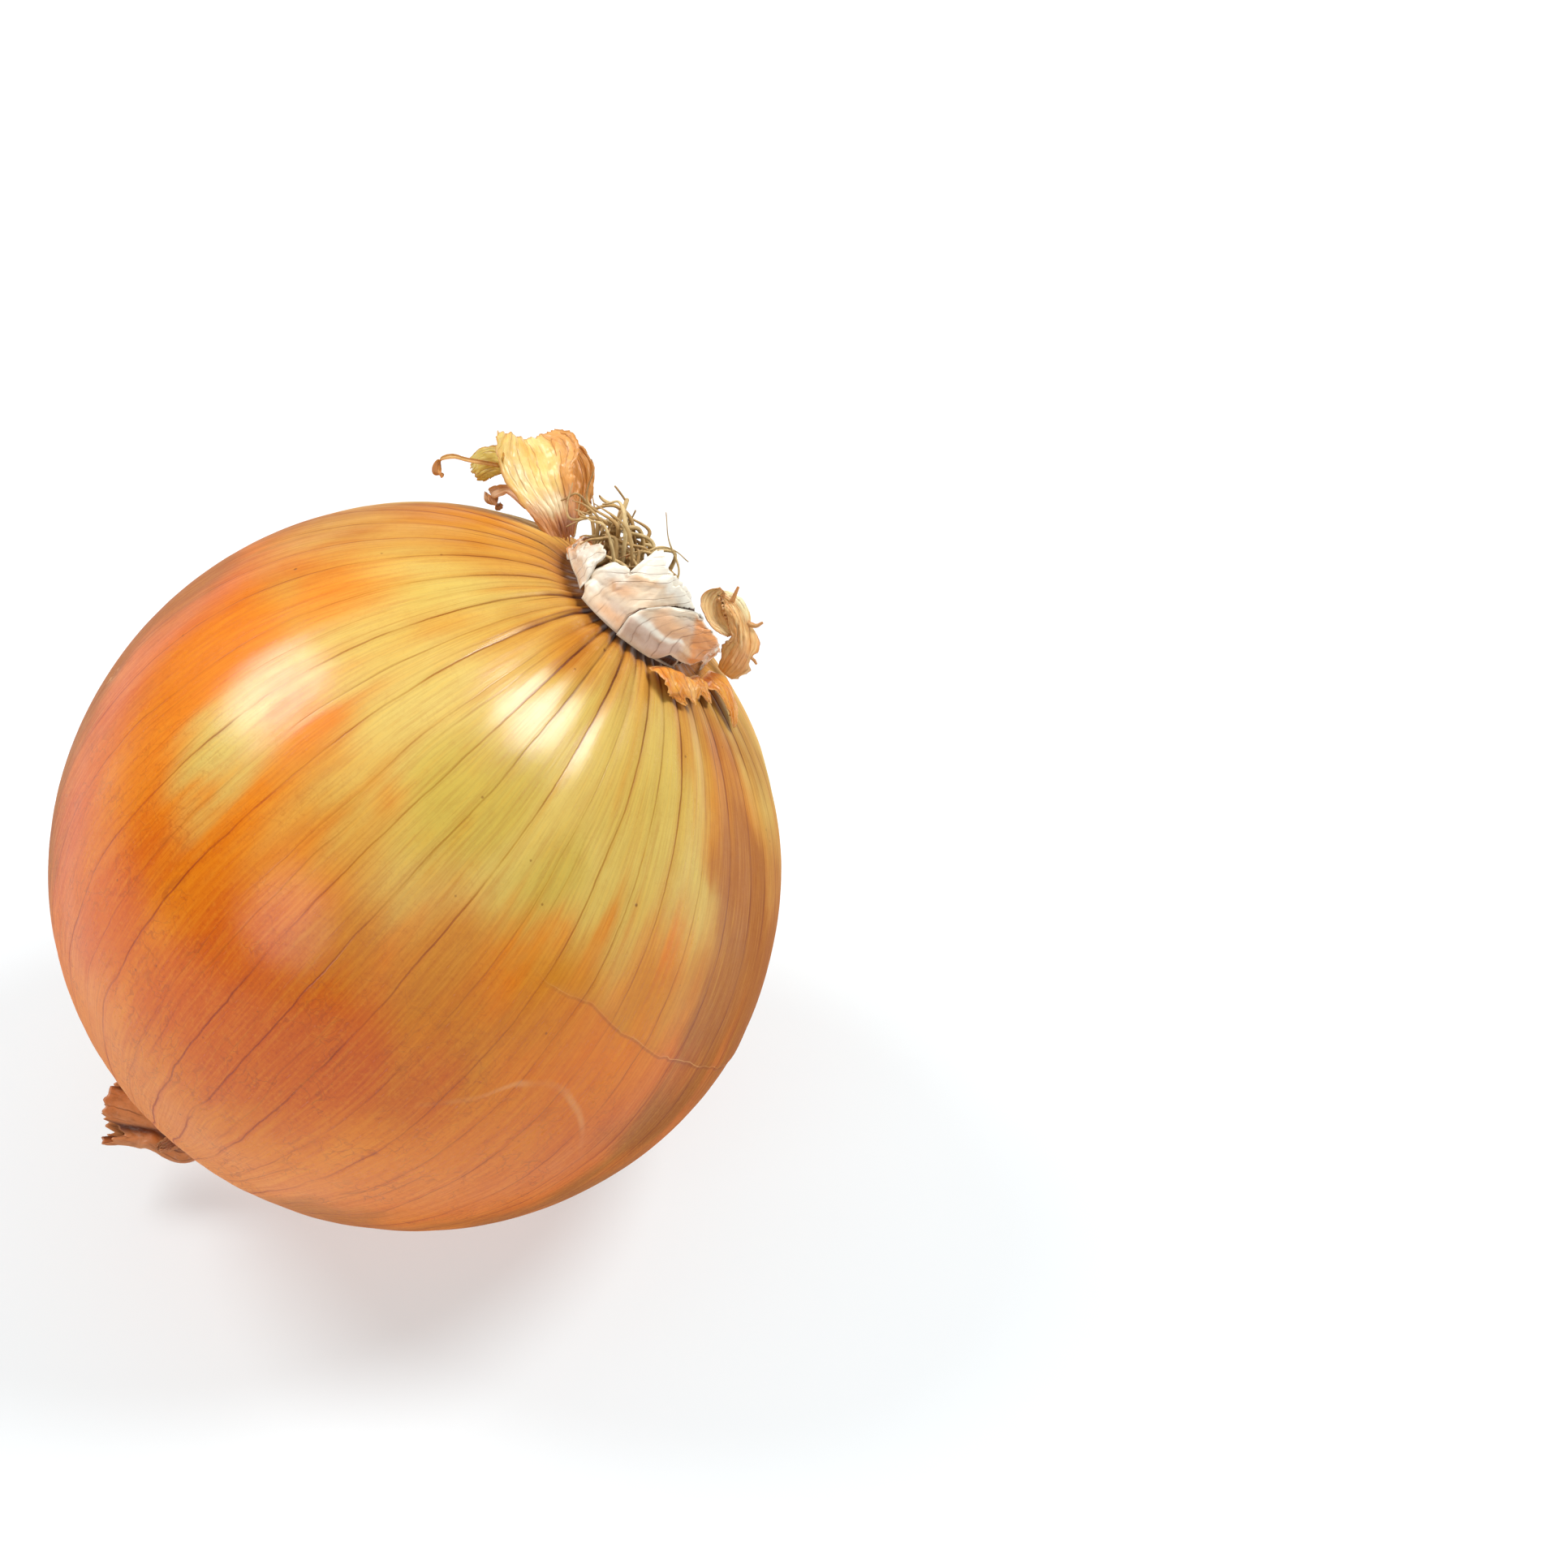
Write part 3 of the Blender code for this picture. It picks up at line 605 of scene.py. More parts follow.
    # poles close the grid
    count = BULB_COLUMNS
    body = points[:, :count].reshape(-1, 3)
    root_pole = MIDDLE + AXIS * float(bulb_radius(np.array(0.0), np.array(0.0)))
    neck_pole = MIDDLE - AXIS * float(bulb_radius(np.array(math.pi), np.array(0.0)))
    every = np.vstack([body, root_pole, neck_pole])
    n_rows = len(inner)
    r, c = np.meshgrid(np.arange(n_rows - 1), np.arange(count), indexing="ij")
    c1 = (c + 1) % count
    quads = np.stack([r * count + c, (r + 1) * count + c, (r + 1) * count + c1, r * count + c1], -1).reshape(-1, 4)
    top, bottom = len(body), len(body) + 1
    ring = np.arange(count)
    caps_top = np.stack([np.full(count, top), ring, (ring + 1) % count], -1)
    base = (n_rows - 1) * count
    caps_low = np.stack([base + (ring + 1) % count, base + ring, np.full(count, bottom)], -1)
    faces = [quads, np.concatenate([caps_top, caps_low])]

    # corner maps: Skin holds the vein coordinate and the polar angle, OFBake two half-turn charts
    def corner_maps():
        rr = np.concatenate([np.stack([r, r + 1, r + 1, r], -1).reshape(-1, 4)])
        cc = np.stack([c, c, c + 1, c + 1], -1).reshape(-1, 4)
        skin = np.stack([w[rr, cc], v[rr, cc]], -1)
        half = (cc[:, :1] >= count // 2).astype(float)
        half = np.repeat(np.where(np.floor(cc.min(axis=1, keepdims=True) / (count / 2)) >= 1, 1.0, 0.0), 4, axis=1)
        x = (u[rr, cc] * 2.0 - half)
        bake = np.stack([0.004 + 0.992 * x, 0.004 + 0.490 * v[rr, cc] + 0.502 * half], -1)
        cap = []
        cap_bake = []
        for where, row, apex in ((0, 0, 0.0), (1, n_rows - 1, 1.0)):
            a0, a1 = np.arange(count), np.arange(count) + 1
            h = np.where(a0 >= count // 2, 1.0, 0.0)
            mid_w, mid_u = 0.5 * (w[row, a0] + w[row, a1]), 0.5 * (u[row, a0] + u[row, a1])
            pole_skin = np.stack([mid_w, np.full(count, apex)], -1)
            pole_bake = np.stack([0.004 + 0.992 * (mid_u * 2 - h), 0.004 + 0.490 * apex + 0.502 * h], -1)
            s0, s1 = np.stack([w[row, a0], v[row, a0]], -1), np.stack([w[row, a1], v[row, a1]], -1)
            b0 = np.stack([0.004 + 0.992 * (u[row, a0] * 2 - h), 0.004 + 0.490 * v[row, a0] + 0.502 * h], -1)
            b1 = np.stack([0.004 + 0.992 * (u[row, a1] * 2 - h), 0.004 + 0.490 * v[row, a1] + 0.502 * h], -1)
            order = (pole_skin, s0, s1) if where == 0 else (s1, s0, pole_skin)
            order_bake = (pole_bake, b0, b1) if where == 0 else (b1, b0, pole_bake)
            cap.append(np.stack(order, 1).reshape(-1, 2))
            cap_bake.append(np.stack(order_bake, 1).reshape(-1, 2))
        return np.concatenate([skin.reshape(-1, 2), *cap]), np.concatenate([bake.reshape(-1, 2), *cap_bake])

    skin_map, bake_map = corner_maps()

    def column(values, at_root=0.0, at_neck=0.0):
        return np.concatenate([values[:, :count].reshape(-1), [at_root, at_neck]])

    floats = {
        "vein_mm": column(spacing, 0.5, 0.5),
        "vein_strength": column(strength),
        "pale_and_highlight": column(pale_and_highlight), "green": column(green), "gold": column(gold), "orange": column(orange, 0.0, 0.5), "rust": column(rust, 0.0, 0.3),
        "deep": column(deep), "amber": column(amber), "peach": column(peach, 0.0, 0.6), "stain_and_shade": column(np.clip(stain_and_shade, 0, 1), 1.0, 0.0),
        "below": column(below), "edge": column(np.where(edge_shows > 0.02, edge, 9.0), 9.0, 9.0), "edge_shows": column(edge_shows),
        "ridge": column(np.where(ridge_shows > 0.02, ridge, 9.0), 9.0, 9.0), "ridge_shows": column(ridge_shows),
        "matt": column(matt, 0.3, 0.3), "strip": column(strip), "scar": column(scar), "polar": column(deg_p, 0.0, 180.0),
    }
    bulb = mesh_object("bulb_skin", every, faces, finish, corner_uv={"OFBake": bake_map, "Skin": skin_map}, floats=floats)
    return bulb


def bulb_material():
    n = Nodes("bulb_skin")
    w, v, _ = n.split(n.uv("Skin"))
    polar = n.attribute("polar")
    spacing = n.attribute("vein_mm")
    where = n.where()

    # main veins
    k = n.math("ROUND", w)
    off = n.mul(n.sub(w, k), spacing)
    wobble = n.mul(n.sub(n.noise(n.join(n.mul(k, 7.31), n.mul(v, 24.0)), 1.0, 3.0, 0.55), 0.5), n.span(polar, 20, 150, 0.3, 1.0))
    distance = n.math("ABSOLUTE", n.add(off, wobble))
    strength = n.attribute("vein_strength")
    along = n.span(n.noise(n.join(n.mul(k, 3.17), n.mul(v, 11.0), 4.0), 1.0, 2.0, 0.5), 0.28, 0.62, 0.2, 1.0)
    near_root = n.span(polar, 12.0, 42.0, 1.0, 0.0)
    near_neck = n.span(polar, 95.0, 150.0, 0.0, 1.0)
    half = n.add(n.add(0.115, n.mul(near_root, 0.06)), n.mul(near_neck, 0.03))
    half = n.mul(half, n.add(0.6, n.mul(strength, 0.5)))
    line = n.mul(n.sub(1.0, n.span(distance, n.mul(half, 0.25), n.mul(half, 1.35))), strength, along)
    # painted shade along the vein grooves, wider near the root
    vein_groove_shade = n.mul(n.sub(1.0, n.span(distance, 0.0, n.add(0.9, n.mul(near_root, 0.5)))), strength, along)

    # fainter veins between them, that start and stop
    w3 = n.add(n.mul(w, 3.0), n.mul(n.sub(n.noise(n.join(n.mul(w, 0.8), n.mul(v, 9.0), 9.0), 1.0, 2.0, 0.5), 0.5), 1.1))
    k3 = n.math("ROUND", w3)
    off3 = n.math("ABSOLUTE", n.mul(n.sub(w3, k3), n.mul(spacing, 0.333)))
    there3 = n.mul(
        n.span(n.noise(n.join(n.mul(k3, 5.77), n.mul(v, 5.0), 2.0), 1.0, 1.0, 0.5), 0.46, 0.66),
        n.span(n.random(k3), 0.25, 0.9),
    )
    line3 = n.mul(n.sub(1.0, n.span(off3, 0.03, 0.17)), there3)

    # very fine fibres along the skin
    fibre = n.noise(n.join(n.mul(w, 19.0), n.mul(v, 18.0), n.mul(w, 1.3)), 1.0, 4.0, 0.62)
    fibre_wide = n.noise(n.join(n.mul(w, 9.0), n.mul(v, 5.0), 3.0), 1.0, 2.0, 0.5)

    # faint wavy net across the lower skin
    warped = n.join(
        n.add(n.mul(w, 2.3), n.mul(n.noise(where, 420.0, 2.0), 1.2)),
        n.add(n.mul(v, 64.0), n.mul(n.noise(where, 300.0, 3.0), 5.5)),
    )
    net = n.cells(warped, 1.0, "DISTANCE_TO_EDGE").outputs["Distance"]
    net_line = n.mul(
        n.sub(1.0, n.span(net, 0.0, 0.06)),
        n.span(n.noise(where, 190.0, 2.0), 0.38, 0.62),
        n.span(polar, 60.0, 120.0, 0.15, 1.0),
    )

    # colour
    mottle = n.noise(where, 95.0, 4.0, 0.55)
    fine = n.noise(where, 900.0, 3.0, 0.6)
    colour = n.mix(mottle, srgb(229, 122, 0), srgb(238, 134, 12))
    soft = n.sub(n.noise(where, 140.0, 3.0, 0.55), 0.5)
    grain = n.sub(n.noise(n.join(n.mul(w, 5.0), n.mul(v, 12.0), 7.0), 1.0, 3.0, 0.6), 0.5)

    def patch(name, low=0.02, high=0.92, rough=0.45):
        return n.span(n.add(n.attribute(name), n.add(n.mul(soft, rough), n.mul(grain, 0.34))), low, high)

    colour = n.mix(patch("gold"), colour, n.mix(mottle, srgb(210, 152, 56), srgb(224, 170, 82)))
    colour = n.mix(patch("orange"), colour, n.mix(mottle, srgb(220, 102, 0), srgb(231, 116, 2)))
    # pale patches; the one at polar 76, around -33 is painted highlight
    colour = n.mix(patch("pale_and_highlight"), colour, n.mix(mottle, srgb(214, 182, 84), srgb(229, 202, 114)))
    colour = n.mix(n.mul(patch("green"), 0.7), colour, srgb(202, 176, 72))
    colour = n.mix(n.mul(patch("amber"), 0.9), colour, n.mix(mottle, srgb(206, 122, 0), srgb(216, 136, 8)))
    # peach, partly a painted highlight glow between polar 52 and 88, around -50 to -14
    colour = n.mix(n.mul(patch("peach", 0.0, 0.95, 0.35), 0.85), colour, n.mix(mottle, srgb(234, 128, 10), srgb(243, 144, 44)))
    colour = n.mix(n.mul(patch("rust"), 0.95), colour, n.mix(mottle, srgb(219, 96, 0), srgb(229, 110, 0)))
    colour = n.mix(n.mul(n.attribute("below"), 0.6), colour, n.mix(mottle, srgb(226, 114, 0), srgb(236, 128, 4)))
    # deep brown: the skin's own darker brown, on the right flank also painted shade from neighbouring onions
    colour = n.mix(n.mul(patch("deep"), 0.92), colour, n.mix(mottle, srgb(164, 90, 0), srgb(184, 108, 0)))
    # stain and painted shade under the collar and the hanging flaps
    stain_and_shade = n.span(n.add(n.attribute("stain_and_shade"), n.add(n.mul(soft, 0.5), n.mul(grain, 0.5))), 0.15, 0.95)
    colour = n.mix(n.mul(stain_and_shade, 0.72), colour, srgb(176, 96, 20))

    # fibres and mottling tint
    colour = n.mix(n.mul(n.span(fibre, 0.42, 0.68), 0.22), colour, srgb(204, 120, 60), "MULTIPLY")
    colour = n.mix(n.mul(n.span(fibre, 0.52, 0.30), 0.14), colour, srgb(248, 184, 58))
    colour = n.mix(n.mul(n.span(fibre_wide, 0.5, 0.72), 0.14), colour, srgb(226, 140, 66), "MULTIPLY")
    colour = n.mix(n.mul(n.span(fine, 0.5, 0.75), 0.10), colour, srgb(216, 176, 130), "MULTIPLY")
    strokes = n.noise(where, 2300.0, 2.0, 0.6)
    lower = n.span(polar, 52.0, 104.0, 0.25, 1.0)
    colour = n.mix(n.mul(n.span(strokes, 0.54, 0.74), lower, 0.20), colour, srgb(250, 168, 52))
    colour = n.mix(n.mul(n.span(strokes, 0.46, 0.28), lower, 0.26), colour, srgb(204, 116, 40), "MULTIPLY")
    colour = n.mix(n.mul(net_line, 0.42), colour, srgb(158, 66, 20))

    # veins, with painted shade in the grooves beside them
    vein_tint = n.mix(near_root, n.mix(near_neck, srgb(198, 160, 92), srgb(200, 146, 84)), srgb(124, 80, 34))
    colour = n.mix(n.mul(vein_groove_shade, n.span(polar, 12.0, 60.0, 0.50, 0.26)), colour, n.mix(near_root, srgb(232, 196, 130), srgb(176, 122, 60)), "MULTIPLY")
    colour = n.mix(n.mul(line3, n.span(polar, 14, 60, 0.62, 0.50)), colour, vein_tint, "MULTIPLY")
    colour = n.mix(n.clamp(n.mul(line, n.span(polar, 14.0, 60.0, 1.1, 0.95))), colour, vein_tint, "MULTIPLY")

    # dark seat of the collar: painted shade in the dent at its foot
    seat = n.span(polar, 11.0, 15.5, 1.0, 0.0)
    colour = n.mix(n.mul(seat, 0.8), colour, srgb(70, 34, 10))

    # the torn edge, the ridge, the pale strip and the scar
    edge = n.attribute("edge")
    # the torn rim's own paler line, with painted highlight along the step
    edge_rim_and_highlight = n.mul(n.sub(1.0, n.span(n.math("ABSOLUTE", n.sub(edge, 0.02)), 0.0, 0.11)), n.attribute("edge_shows"))
    broken = n.span(n.noise(where, 160.0, 2.0), 0.38, 0.62, 0.25, 1.0)
    colour = n.mix(n.mul(edge_rim_and_highlight, broken, 0.52), colour, srgb(242, 190, 112))
    # painted shadow in a thin band at the foot of the torn edge's step
    edge_step_shadow = n.mul(n.sub(1.0, n.span(n.math("ABSOLUTE", n.sub(edge, 0.25)), 0.05, 0.26)), n.attribute("edge_shows"))
    colour = n.mix(n.mul(edge_step_shadow, 0.35), colour, srgb(150, 60, 14))
    ridge = n.attribute("ridge")
    ridge_line = n.mul(n.sub(1.0, n.span(n.math("ABSOLUTE", n.sub(ridge, 0.3)), 0.1, 0.75)), n.attribute("ridge_shows"))
    colour = n.mix(n.mul(ridge_line, broken, 0.40), colour, srgb(244, 180, 116))
    colour = n.mix(n.mul(n.attribute("strip"), 0.7), colour, srgb(238, 190, 112))
    colour = n.mix(n.mul(n.span(n.attribute("scar"), 0.3, 0.6), n.span(n.noise(where, 900.0, 3.0, 0.7), 0.42, 0.66), 0.5), colour, srgb(240, 186, 128))

    # small dark specks
    dots = n.cells(where, 260.0)
    chosen = n.math("GREATER_THAN", n.split(dots.outputs["Color"])[0], 0.965)
    speck = n.mul(n.sub(1.0, n.span(dots.outputs["Distance"], 0.03, 0.085)), chosen)
    dots2 = n.cells(where, 700.0)
    chosen2 = n.math("GREATER_THAN", n.split(dots2.outputs["Color"])[1], 0.975)
    speck2 = n.mul(n.sub(1.0, n.span(dots2.outputs["Distance"], 0.05, 0.16)), chosen2)
    colour = n.mix(n.mul(speck, 0.75), colour, srgb(96, 44, 14))
    colour = n.mix(n.mul(speck2, 0.55), colour, srgb(120, 58, 20))

    colour = n.mix(1.0, colour, (0.91, 0.91, 0.91), "MULTIPLY")

    # relief in metres
    height = n.mul(n.sub(n.mul(fibre, 0.011), n.add(n.mul(line, 0.014), n.mul(line3, 0.006))), MM)
    height = n.add(height, n.mul(n.add(n.mul(fine, 0.006), n.mul(n.noise(where, 300.0, 2.0), 0.012)), MM))
    height = n.sub(height, n.mul(n.add(n.mul(net_line, 0.006), n.mul(speck, 0.03)), MM))
    rough = n.add(n.span(n.add(n.attribute("matt"), n.mul(soft, 0.3)), 0.05, 1.30, 0.24, 0.873, "LINEAR"), n.add(n.mul(n.sub(fibre, 0.5), 0.16), n.mul(n.sub(fine, 0.5), 0.12)))
    rough = n.add(rough, n.mul(line, 0.04))
    return n.finish(
        colour, rough, n.bump(height),
        IOR=1.45, Specular_IOR_Level=0.5,
    )


# ---------------------------------------------------------------------------------------------
# Papery skins
# ---------------------------------------------------------------------------------------------
def paper_material(name, light, deep, vein, veins=8.0, vein_amount=0.5, rim_colour=None, back=None, zones=(), streaks_round=False,
                   rough=0.36, sss=0.0, grain=0.5, seed=0.0, patchy=1.0, dim=0.82):
    """Dry onion skin. zones are (attribute, colour, amount); back tints the reverse side."""
    n = Nodes(name)
    across, along, wide = n.attribute("across"), n.attribute("along"), n.attribute("wide")
    half = n.attribute("half")
    where = n.where()
    if streaks_round:
        broad = n.noise(n.join(n.mul(across, 0.16), n.mul(along, 0.75), seed), 1.0, 3.0, 0.55, 0.4)
        fine = n.noise(n.join(n.mul(across, 0.7), n.mul(along, 5.5), seed + 3.0), 1.0, 4.0, 0.62)
    else:
        broad = n.noise(n.join(n.mul(wide, 3.1), n.mul(along, 0.22), seed), 1.0, 3.0, 0.55, 0.3)
        fine = n.noise(n.join(n.mul(wide, 26.0), n.mul(along, 0.7), seed + 3.0), 1.0, 4.0, 0.62)
    speckle = n.noise(where, 1300.0, 3.0, 0.6)
    cloud = n.noise(where, 260.0, 3.0, 0.55)
    colour = n.mix(n.span(n.add(n.mul(broad, 0.7), n.mul(cloud, 0.3)), 0.34, 0.64), deep, light)
    for attribute, tone, amount in zones:
        factor = n.span(n.add(n.attribute(attribute), n.add(n.mul(n.sub(broad, 0.5), 0.7 * patchy), n.mul(n.sub(cloud, 0.5), 0.5 * patchy))), 0.1, 0.9)
        colour = n.mix(n.mul(factor, amount), colour, tone)
    if back is not None:
        colour = n.mix(n.mul(n.attribute("back"), 0.85), colour, back)
    colour = n.mix(n.mul(n.span(fine, 0.45, 0.75), grain * 0.42), colour, vein, "MULTIPLY")
    colour = n.mix(n.mul(n.span(speckle, 0.5, 0.8), 0.10), colour, (1.0, 0.95, 0.85), "SCREEN")
    # veins that follow the skin
    x = n.add(n.mul(wide, 0.5 * veins), n.mul(n.sub(n.noise(n.join(n.mul(wide, 1.5), n.mul(along, 0.35), seed + 6.0), 1.0, 2.0, 0.5), 0.5), 0.9))
    k = n.math("ROUND", x)
    off = n.math("ABSOLUTE", n.mul(n.sub(x, k), n.mul(half, 2.0 / veins)))
    there = n.span(n.noise(n.join(n.mul(k, 4.3), n.mul(along, 0.3), seed + 8.0), 1.0, 1.0), 0.36, 0.58)
    line = n.mul(n.sub(1.0, n.span(off, 0.02, 0.13)), there)
    colour = n.mix(n.mul(line, vein_amount), colour, vein)
    rim = n.attribute("rim")
    if rim_colour is not None:
        frayed = n.add(rim, n.mul(n.sub(cloud, 0.5), 0.35))
        colour = n.mix(n.mul(n.sub(1.0, n.span(frayed, 0.04, 0.42)), 0.7), colour, rim_colour)
    colour = n.mix(1.0, colour, (dim, dim, dim), "MULTIPLY")
    height = n.mul(n.sub(n.add(n.mul(fine, 0.035), n.mul(speckle, 0.008)), n.mul(line, 0.03)), MM)
    height = n.add(height, n.mul(cloud, 0.05 * MM))
    roughness = n.add(rough, n.mul(n.sub(fine, 0.5), 0.22))
    fixed = {"IOR": 1.45}
    if sss:
        fixed.update(Subsurface_Weight=sss, Subsurface_Radius=(1.0, 0.55, 0.25), Subsurface_Scale=1.2 * MM)
    return n.finish(colour, roughness, n.bump(height), **fixed)


def half_width(points):
    across = steps(points, 0)
    return np.broadcast_to(0.5 * across[-1:], across.shape)


# ---------------------------------------------------------------------------------------------
# The ring of cut leaf bases round the roots: two wrapped layers, an inner one and a lobe on the left
# ---------------------------------------------------------------------------------------------
RING_ANGLES = np.array([-138, -112, -84, -60, -41, -17, 9, 36, 61, 89, 118, 150, 186, 222], float)
RING_RADII = np.array([1.0, 1.03, 0.99, 1.0, 1.05, 0.965, 1.035, 0.975, 1.05, 0.97, 1.05, 0.98, 1.04, 1.0])
FOOT_POLAR = math.degrees(math.asin(COLLAR_FOOT_RADIUS / BULB_RADIUS))


def facets(around):
    """Radius factor of a ring folded into flat faces, in around degrees."""
    i = np.clip(np.searchsorted(RING_ANGLES, around) - 1, 0, len(RING_ANGLES) - 2)
    a0, a1 = np.radians(RING_ANGLES[i]), np.radians(RING_ANGLES[i + 1])
    r0, r1 = RING_RADII[i], RING_RADII[i + 1]
    a = np.radians(around)
    flat = r0 * r1 * np.sin(a1 - a0) / (r0 * np.sin(a - a0) + r1 * np.sin(a1 - a))
    return 0.78 * flat + 0.22


FOOT_LEFT = ([-110.0, -90.0, -75.0, -60.0, -45.0, -35.0, -27.0], [1.0, 0.97, 0.94, 0.88, 0.88, 0.93, 1.0])


def collar_points(around, v, height, lean=1.0, swell=0.0, base=0.0):
    """World points of a leaf base that stands on the bulb. base, height and swell in millimetres, around in degrees."""
    foot = at(FOOT_POLAR * np.interp(around, *FOOT_LEFT), around, 0.5)
    turn = np.radians(around)[..., None]
    out = FRONT * np.cos(turn) + SIDE * np.sin(turn)
    up = base + (height - base) * v
    point = foot + AXIS * (up * MM)[..., None] - out * (2.0 * MM * lean * (up / 8.5) ** 2)[..., None]
    reach = np.sum((point - MIDDLE) * out, -1, keepdims=True)
    factor = 1.0 + (facets(around) - 1.0) * ramp(v, 0.0, 0.4)
    return point + out * (reach * (factor[..., None] - 1.0)) + out * (np.asarray(swell) * MM)[..., None]


def make_collar():
    ivory = paper_material(
        "ivory_skin", srgb(244, 228, 202), srgb(226, 190, 152), srgb(134, 82, 54), veins=12.0, vein_amount=0.42,
        rim_colour=srgb(248, 240, 220), zones=(("mauve", srgb(208, 178, 164), 0.66), ("pink", srgb(234, 180, 134), 0.8), ("peach", srgb(236, 158, 92), 0.9),
                                               # painted shade: dark brown at the foot of each layer and under an
                                               # overlapping edge
                                               ("white", srgb(252, 246, 230), 0.92), ("painted_shade", srgb(60, 28, 12), 1.0)),
        rough=0.27, grain=0.5, seed=1.7, patchy=0.5, dim=0.95,
    )

    def crack(V):
        """Angle at which the outer layer ends on the left: straight up at first, then away to the right."""
        return np.interp(V, [0.0, 0.30, 0.45, 0.60, 0.72, 0.86, 1.0, 1.2], [5.0, 4.0, 6.5, 14.0, 21.0, 31.0, 40.0, 52.0])

    def layer(name, left, right, n_u, n_v, seed, height, base, lean, swell, finish_nodes, slot, zones, fray=1.0):
        U, V = np.meshgrid(np.linspace(0, 1, n_u), np.linspace(0, 1, n_v), indexing="ij")
        around = left(V) + (right(V) - left(V)) * U
        frayed = V * (1.0 + fray * ragged(U * 0.97, seed, 0.06, 0.02, max(5, int((right(0.5) - left(0.5)) / 11))))
        points = collar_points(around, frayed, height(around), lean(around), swell(U, V, around), base(around))
        points = crumple(points, seed + 5, swell=0.30, wrinkle=0.11, pleats=0.05, pleat_count=int(n_u / 14), free=ramp(V, 0.0, 0.3))
        floats = {key: np.broadcast_to(value(U, V, around), U.shape) for key, value in zones.items()}
        up = base(around) + (height(around) - base(around)) * frayed
        floats["half"] = np.full(U.shape, 9.0)
        floats["wide"] = (around - crack(up / 8.6)) / 52.0
        floats["along"] = up
        return sheet(name, points, 0.28, ivory, finish_nodes, slot, floats)

    def front_heights(a):
        return np.interp(a, [-38, -34, -31, -27, -21, -17, -15, -11, -4, -1, 3, 9, 16, 32, 40, 50, 62, 75, 84, 90],
                         [2.6, 3.6, 4.6, 5.7, 6.1, 6.1, 5.6, 6.5, 6.9, 7.0, 8.2, 8.9, 8.5, 7.5, 6.9, 6.5, 5.7, 4.3, 3.4, 2.9])

    def none(*given):
        return 0.0 * given[0]

    layer(
        "collar_under", lambda V: -27.0 - 9.0 * ramp(V, 0.0, 0.5), lambda V: 50.0 + 0 * np.asarray(V), 130, 36, 101, front_heights, none,
        lambda a: 1.0 + 0 * a, lambda U, V, a: -0.10 + 0 * V, [], "ivory_skin",
        {
            "mauve": lambda U, V, a: 0.55 * hump(V, 0.30, 0.14) * hump(a, -6, 14), "peach": none,
            "pink": lambda U, V, a: 0.75 * hump(V, 0.16, 0.12) * ramp(a, -26, -10) + 0.8 * hump(V, 0.62, 0.16) * hump(a, -12, 12),
            "white": lambda U, V, a: 0.9 * hump(V, 0.85, 0.2) * hump(a, -22, 12) + 0.7 * hump(V, 0.4, 0.2) * (1 - ramp(a, -26, -16)) + 0.9 * ramp(V, 0.75, 0.95) * ramp(a, 0, 6),
            # painted shade at the foot and where the next layer lies over this one
            "painted_shade": lambda U, V, a: np.maximum(0.8 * (1 - ramp(V, 0.0, 0.06)), ramp(a - crack(V), -1.6, 0.6)),
        }, fray=0.7,
    )
    layer(
        "root_collar_skin", crack, lambda V: 86.0 + 2.0 * np.asarray(V), 150, 40, 131, front_heights,
        lambda a: np.interp(a, [30, 35, 40, 50, 60, 67, 75, 81, 88], [0.0, 0.4, 1.5, 1.25, 1.2, 2.1, 1.6, 2.5, 2.6]), lambda a: 1.0 - 0.7 * ramp(a, 34, 70),
        lambda U, V, a: 0.20 + 0.16 * (1 - ramp(a - crack(V), 0.0, 9.0)) + 0.35 * ramp(a, 34, 60) * V, ["root_collar"], "ivory_skin",
        {
            "mauve": lambda U, V, a: 0.95 * hump(V, 0.22, 0.22) * (1 - ramp(a, 40, 50)) + 0.75 * hump(V, 0.72, 0.16) * hump(a, 44, 12),
            "pink": lambda U, V, a: 0.9 * hump(V, 0.52, 0.2) * ramp(a, 8, 22) * (1 - ramp(a, 52, 60)),
            "peach": lambda U, V, a: 1.0 * ramp(a + 14 * V, 50, 60) * (1 - 0.5 * hump(a, 72, 5)),
            "white": lambda U, V, a: 0.8 * hump(V, 0.36, 0.06) * (1 - ramp(a, 40, 50)) + 0.7 * hump(a, 70, 5) * ramp(V, 0.4, 0.7),
            # painted shade at the foot and along this layer's overlapping edge
            "painted_shade": lambda U, V, a: np.maximum(0.8 * (1 - ramp(V, 0.0, 0.05)) * (1 - ramp(a, 26, 32)), 0.85 * (1 - ramp(a - crack(V), 0.0, 0.7))),
        }, fray=0.8,
    )
    layer(
        "collar_behind", lambda V: 84.0 + 0 * np.asarray(V), lambda V: 232.0 + 0 * np.asarray(V), 170, 24, 221,
        lambda a: np.interp(a, [84, 100, 125, 150, 175, 200, 232], [1.5, 1.2, 1.2, 1.5, 1.9, 2.4, 2.0]), none, lambda a: 0.8 + 0 * a,
        lambda U, V, a: -0.15 + 0 * U, [], "ivory_skin",
        {
            "mauve": lambda U, V, a: 0.5 * hump(V, 0.5, 0.2), "pink": none, "peach": lambda U, V, a: 0.9 + 0 * U, "white": none,
            # painted shade low at the foot
            "painted_shade": lambda U, V, a: 0.85 * (1 - ramp(V, 0.02, 0.25)),
        }, fray=2.6,
    )
